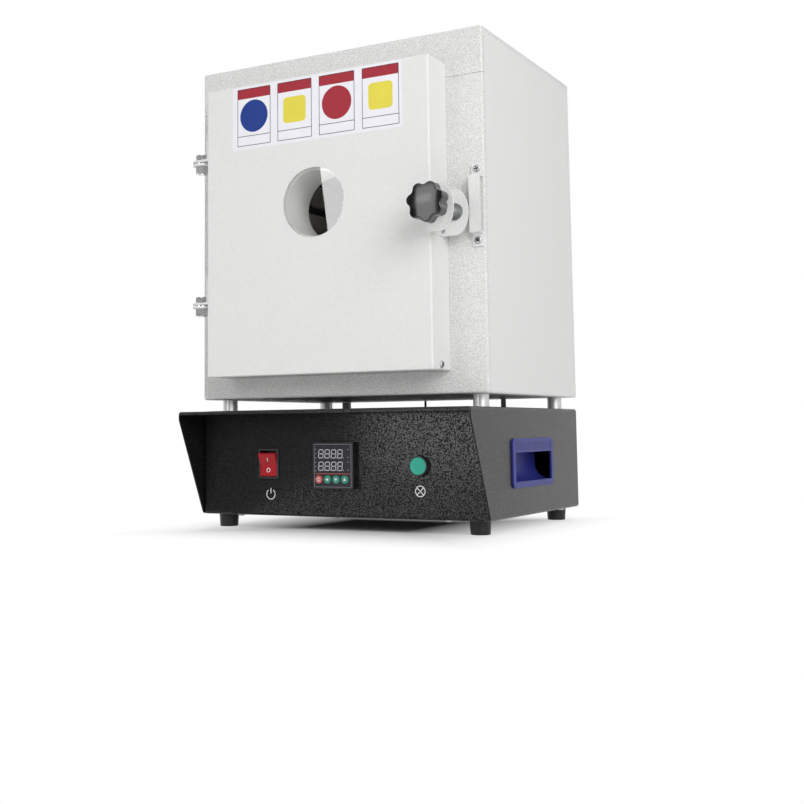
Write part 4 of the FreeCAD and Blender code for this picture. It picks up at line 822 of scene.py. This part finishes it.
# face of the temperature controller, measured from its left, right and top edges
faceLook = dict(digitWidth=5.3 * mm, digitHeight=8.4 * mm, digitPitch=7.55 * mm, firstDigit=10.2 * mm,
                digits=4, rows=(12.0 * mm, 24.6 * mm), stroke=0.85 * mm, strokeGap=0.25, lean=0.07,
                pointShift=0.72, pointRadius=0.42 * mm, windowSide=0.6 * mm, windowRise=2.4 * mm,
                windowCorner=0.6 * mm, film=0.04 * mm,
                ticks=6, firstTick=7.4 * mm, tickPitch=4.4 * mm, tickFrom=3.0 * mm, tickTo=4.6 * mm,
                tickWidth=0.8 * mm,
                dashes=(7.6 * mm, 15.6 * mm, 20.4 * mm, 28.4 * mm), dashFrom=6.6 * mm, dashTo=5.2 * mm,
                dashWidth=0.9 * mm,
                frameInset=2.3 * mm, frameLine=0.4 * mm, lineDrop=32.3 * mm, lineInset=0.8 * mm,
                lineWidth=0.7 * mm)


def addDigit(bm, x, z, place):
    # seven strokes with pointed ends, leaning a little to the right
    look = faceLook
    w, h, s, lean = look["digitWidth"], look["digitHeight"], look["stroke"], look["lean"]
    gap = s * look["strokeGap"]
    runs = [(-w / 2, h / 2, w / 2, h / 2), (-w / 2, 0, w / 2, 0), (-w / 2, -h / 2, w / 2, -h / 2)]
    for side in (-1, 1):
        runs += [(side * w / 2, 0, side * w / 2, h / 2), (side * w / 2, -h / 2, side * w / 2, 0)]
    for x0, z0, x1, z1 in runs:
        length = math.hypot(x1 - x0, z1 - z0)
        dx, dz = (x1 - x0) / length, (z1 - z0) / length
        nx, nz = -dz * s / 2, dx * s / 2
        tip = gap + s / 2
        outline = [(x0 + dx * gap, z0 + dz * gap), (x0 + dx * tip - nx, z0 + dz * tip - nz),
                   (x1 - dx * tip - nx, z1 - dz * tip - nz), (x1 - dx * gap, z1 - dz * gap),
                   (x1 - dx * tip + nx, z1 - dz * tip + nz), (x0 + dx * tip + nx, z0 + dz * tip + nz)]
        addSlab(bm, [(x + px + lean * pz, z + pz) for px, pz in outline], look["film"], place)


def makeControllerFace():
    look = faceLook
    film, pitch = look["film"], look["digitPitch"]
    low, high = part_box("controller_housing")
    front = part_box("controller_plate")[0].y
    face = Matrix.Translation((0, front, 0))
    over = Matrix.Translation((0, front - film, 0))
    left, right, top, bottom = low.x, high.x, high.z, low.z
    digits, dashes, windows, lines = bmesh.new(), bmesh.new(), bmesh.new(), bmesh.new()
    first = left + look["firstDigit"]
    for row in look["rows"]:
        addSlab(windows, roundedRectangle(first + 1.5 * pitch, top - row,
                                          look["digits"] * pitch + look["windowSide"],
                                          look["digitHeight"] + look["windowRise"],
                                          look["windowCorner"]), film, face)
        for index in range(look["digits"]):
            x = first + index * pitch
            addDigit(digits, x, top - row, over)
            point = disc(x + look["digitWidth"] * look["pointShift"],
                         top - row - look["digitHeight"] / 2, look["pointRadius"], 12)
            addSlab(digits, point, film, over)
    for index in range(look["ticks"]):
        z = top - (look["firstTick"] + look["tickPitch"] * index)
        addStroke(dashes, left + look["tickFrom"], z, left + look["tickTo"], z, look["tickWidth"], film, face)
    for drop in look["dashes"]:
        z = top - drop
        addStroke(dashes, right - look["dashFrom"], z, right - look["dashTo"], z, look["dashWidth"],
                  film, face)
    inset = look["frameInset"]
    x0, x1, z0, z1 = left + inset, right - inset, bottom + inset, top - inset
    for ends in ((x0, z0, x1, z0), (x0, z1, x1, z1), (x0, z0, x0, z1), (x1, z0, x1, z1)):
        addStroke(dashes, *ends, look["frameLine"], film, face)
    z = top - look["lineDrop"]
    addStroke(lines, x0 + look["lineInset"], z, x1 - look["lineInset"], z, look["lineWidth"], film, face)
    addPiece("controllerWindows", windows, vinylDark, "housing")
    addPiece("controllerDigits", digits, printGrey, "housing")
    addPiece("controllerDashes", dashes, greyDash, "housing")
    addPiece("controllerLine", lines, printOrange, "housing")


# a ring on the first key and an arrow head on each of the others
keyLook = dict(arrow=2.0 * mm, arrowCorners=(0, 125, 235), ringRadius=1.7 * mm, ringWidth=0.6 * mm,
               ink=0.05 * mm, turns={"key_set": None, "key_left": 180, "key_down": 270, "key_up": 90})


def makeKeyMarks():
    look = keyLook
    for node, turn in look["turns"].items():
        low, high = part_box(node)
        x, z = (low.x + high.x) / 2, (low.z + high.z) / 2
        cap = Matrix.Translation((0, low.y, 0))
        mark = bmesh.new()
        if turn is None:
            addBand(mark, x, z, look["ringRadius"], look["ringWidth"], 0, 360, look["ink"], cap, 24)
        else:
            corners = [math.radians(turn + step) for step in look["arrowCorners"]]
            addSlab(mark, [(x + look["arrow"] * math.cos(t), z + look["arrow"] * math.sin(t))
                           for t in corners], look["ink"], cap)
        addPiece(node + "Mark", mark, printWhite, node + "_cap")


makeControllerFace()
makeKeyMarks()
print("controller face drawn")


# camera, seen as in the photograph
cameraLook = dict(place=(0.6315, -1.1808, 0.1035), turn=(95.62, 0.59, 29.39), lens=54.49, sensor=36,
                  shiftX=0.0643, shiftY=-0.1145)


def makeCamera():
    look = cameraLook
    lens = bpy.data.cameras.new("camera")
    lens.lens = look["lens"]
    lens.sensor_width = look["sensor"]
    lens.shift_x = look["shiftX"]
    lens.shift_y = look["shiftY"]
    lens.clip_start = 0.01
    camera = bpy.data.objects.new("camera", lens)
    camera.location = look["place"]
    camera.rotation_euler = [math.radians(a) for a in look["turn"]]
    scene.collection.objects.link(camera)
    scene.camera = camera


# floor, world, lamps and the dark cards beside the softbox
studioLook = dict(ambient=0.18, floorTone=0.93, floorRadius=14, floorDrop=0.0002, fade=(0.06, 0.22),
                  flagTone=0.012, softboxEdge=-0.911, softboxFront=-1.7, flagGap=0.01)
lampRows = {
    "softbox": dict(place=(-0.6, -1.7, 0.55), target=(-0.6, 0, 0.55), size=(0.8, 1.1), power=5.6),
    "softboxCore": dict(place=(-0.665, -1.695, 0.71), target=(-0.665, 0, 0.71), size=(0.63, 0.22),
                        power=0.7),
    "keyRight": dict(place=(1.585, -1.33, 1.05), target=(0, 0, 0.3), size=(1.3, 1.3), power=28),
    "topSoft": dict(place=(0.1, 0.2, 2.3), target=(0, 0, 0.3), size=(1.8, 1.8), power=18),
    "rearSoft": dict(place=(-1.25, 1.8, 1.1), target=(0, 0, 0.3), size=(1.4, 1.4), power=30)}


def background(paint):
    # one where the floor and the world show as the white backdrop, nought where they light things
    seen = paint.node("ShaderNodeLightPath", out="Is Camera Ray")
    mirrored = paint.node("ShaderNodeLightPath", out="Is Glossy Ray")
    through = paint.node("ShaderNodeLightPath", out="Is Transmission Ray")
    return (seen + mirrored + through).maths("MINIMUM", 1.0)


def makeFloor():
    look = studioLook
    tone = look["floorTone"]
    bm = bmesh.new()
    bmesh.ops.create_circle(bm, cap_ends=True, segments=96, radius=look["floorRadius"])
    mesh = bpy.data.meshes.new("studioFloor")
    bm.to_mesh(mesh)
    bm.free()
    paint = Paint("studioFloor")
    spread = paint.node("ShaderNodeVectorMath", {"operation": "ABSOLUTE"}, {0: paint.place})
    reachX = paint.node("ShaderNodeSeparateXYZ", None, {"Vector": spread}, out="X")
    reachY = paint.node("ShaderNodeSeparateXYZ", None, {"Vector": spread}, out="Y")
    fade = paint.level(reachX.maths("MAXIMUM", reachY), *look["fade"])
    diffuse = paint.node("ShaderNodeBsdfDiffuse", None, {"Color": (tone, tone, tone, 1)})
    bright = paint.node("ShaderNodeEmission", None, {"Color": (1, 1, 1, 1), "Strength": 1.0})
    mixed = paint.node("ShaderNodeMixShader", None, {0: fade * background(paint), 1: diffuse, 2: bright})
    output = paint.tree.nodes.new("ShaderNodeOutputMaterial")
    paint.tree.links.new(mixed.socket, output.inputs["Surface"])
    mesh.materials.append(paint.material)
    floor = bpy.data.objects.new("studioFloor", mesh)
    floor.location.z = -look["floorDrop"]
    scene.collection.objects.link(floor)


def makeLight(name, place, target, size, power):
    lamp = bpy.data.lights.new(name, "AREA")
    lamp.shape = "RECTANGLE"
    lamp.size, lamp.size_y = size
    lamp.energy = power
    light = bpy.data.objects.new(name, lamp)
    light.location = place
    light.rotation_euler = (Vector(target) - Vector(place)).to_track_quat("-Z", "Y").to_euler()
    scene.collection.objects.link(light)


def makeWorld():
    world = bpy.data.worlds.new("studioAir")
    paint = Paint("studioAir", world)
    seen = background(paint)
    ambient = studioLook["ambient"]
    strength = seen * (1 - ambient) + ambient
    light = paint.node("ShaderNodeBackground", None, {"Color": (1, 1, 1, 1), "Strength": strength})
    output = paint.tree.nodes.new("ShaderNodeOutputWorld")
    paint.tree.links.new(light.socket, output.inputs["Surface"])
    scene.world = world


def makeFlag(name, corners):
    # a dark card only shows in gloss, and takes no light away
    tone = studioLook["flagTone"]
    bm = bmesh.new()
    bm.faces.new([bm.verts.new(corner) for corner in corners])
    mesh = bpy.data.meshes.new(name)
    bm.to_mesh(mesh)
    bm.free()
    paint = Paint(name)
    dull = paint.node("ShaderNodeBsdfDiffuse", None, {"Color": (tone, tone, tone, 1)})
    output = paint.tree.nodes.new("ShaderNodeOutputMaterial")
    paint.tree.links.new(dull.socket, output.inputs["Surface"])
    mesh.materials.append(paint.material)
    flag = bpy.data.objects.new(name, mesh)
    scene.collection.objects.link(flag)
    flag.visible_camera = False
    flag.visible_diffuse = False
    flag.visible_shadow = False
    flag.visible_transmission = False


def makeFlags():
    # the slanted inner edge of the left card is the edge seen in the window and on the knob
    edge, front = studioLook["softboxEdge"], studioLook["softboxFront"] + studioLook["flagGap"]
    makeFlag("flagLeft", [(-1.37, front, -0.1), (edge + 0.1, front, -0.1), (edge - 0.16, front, 1.9),
                          (-1.37, front, 1.9)])
    makeFlag("flagRight", [(-0.2, front, -0.1), (0.5, front, -0.1), (0.5, front, 1.9), (-0.2, front, 1.9)])
    makeFlag("flagFloor", [(-1.37, front, 0.001), (edge, front, 0.001), (-0.2, -0.2, 0.001),
                           (-1.37, -0.2, 0.001)])


makeCamera()
makeFloor()
makeWorld()
for name, lamp in lampRows.items():
    makeLight(name, **lamp)
makeFlags()
scene.view_settings.view_transform = "Standard"
print("studio lit")
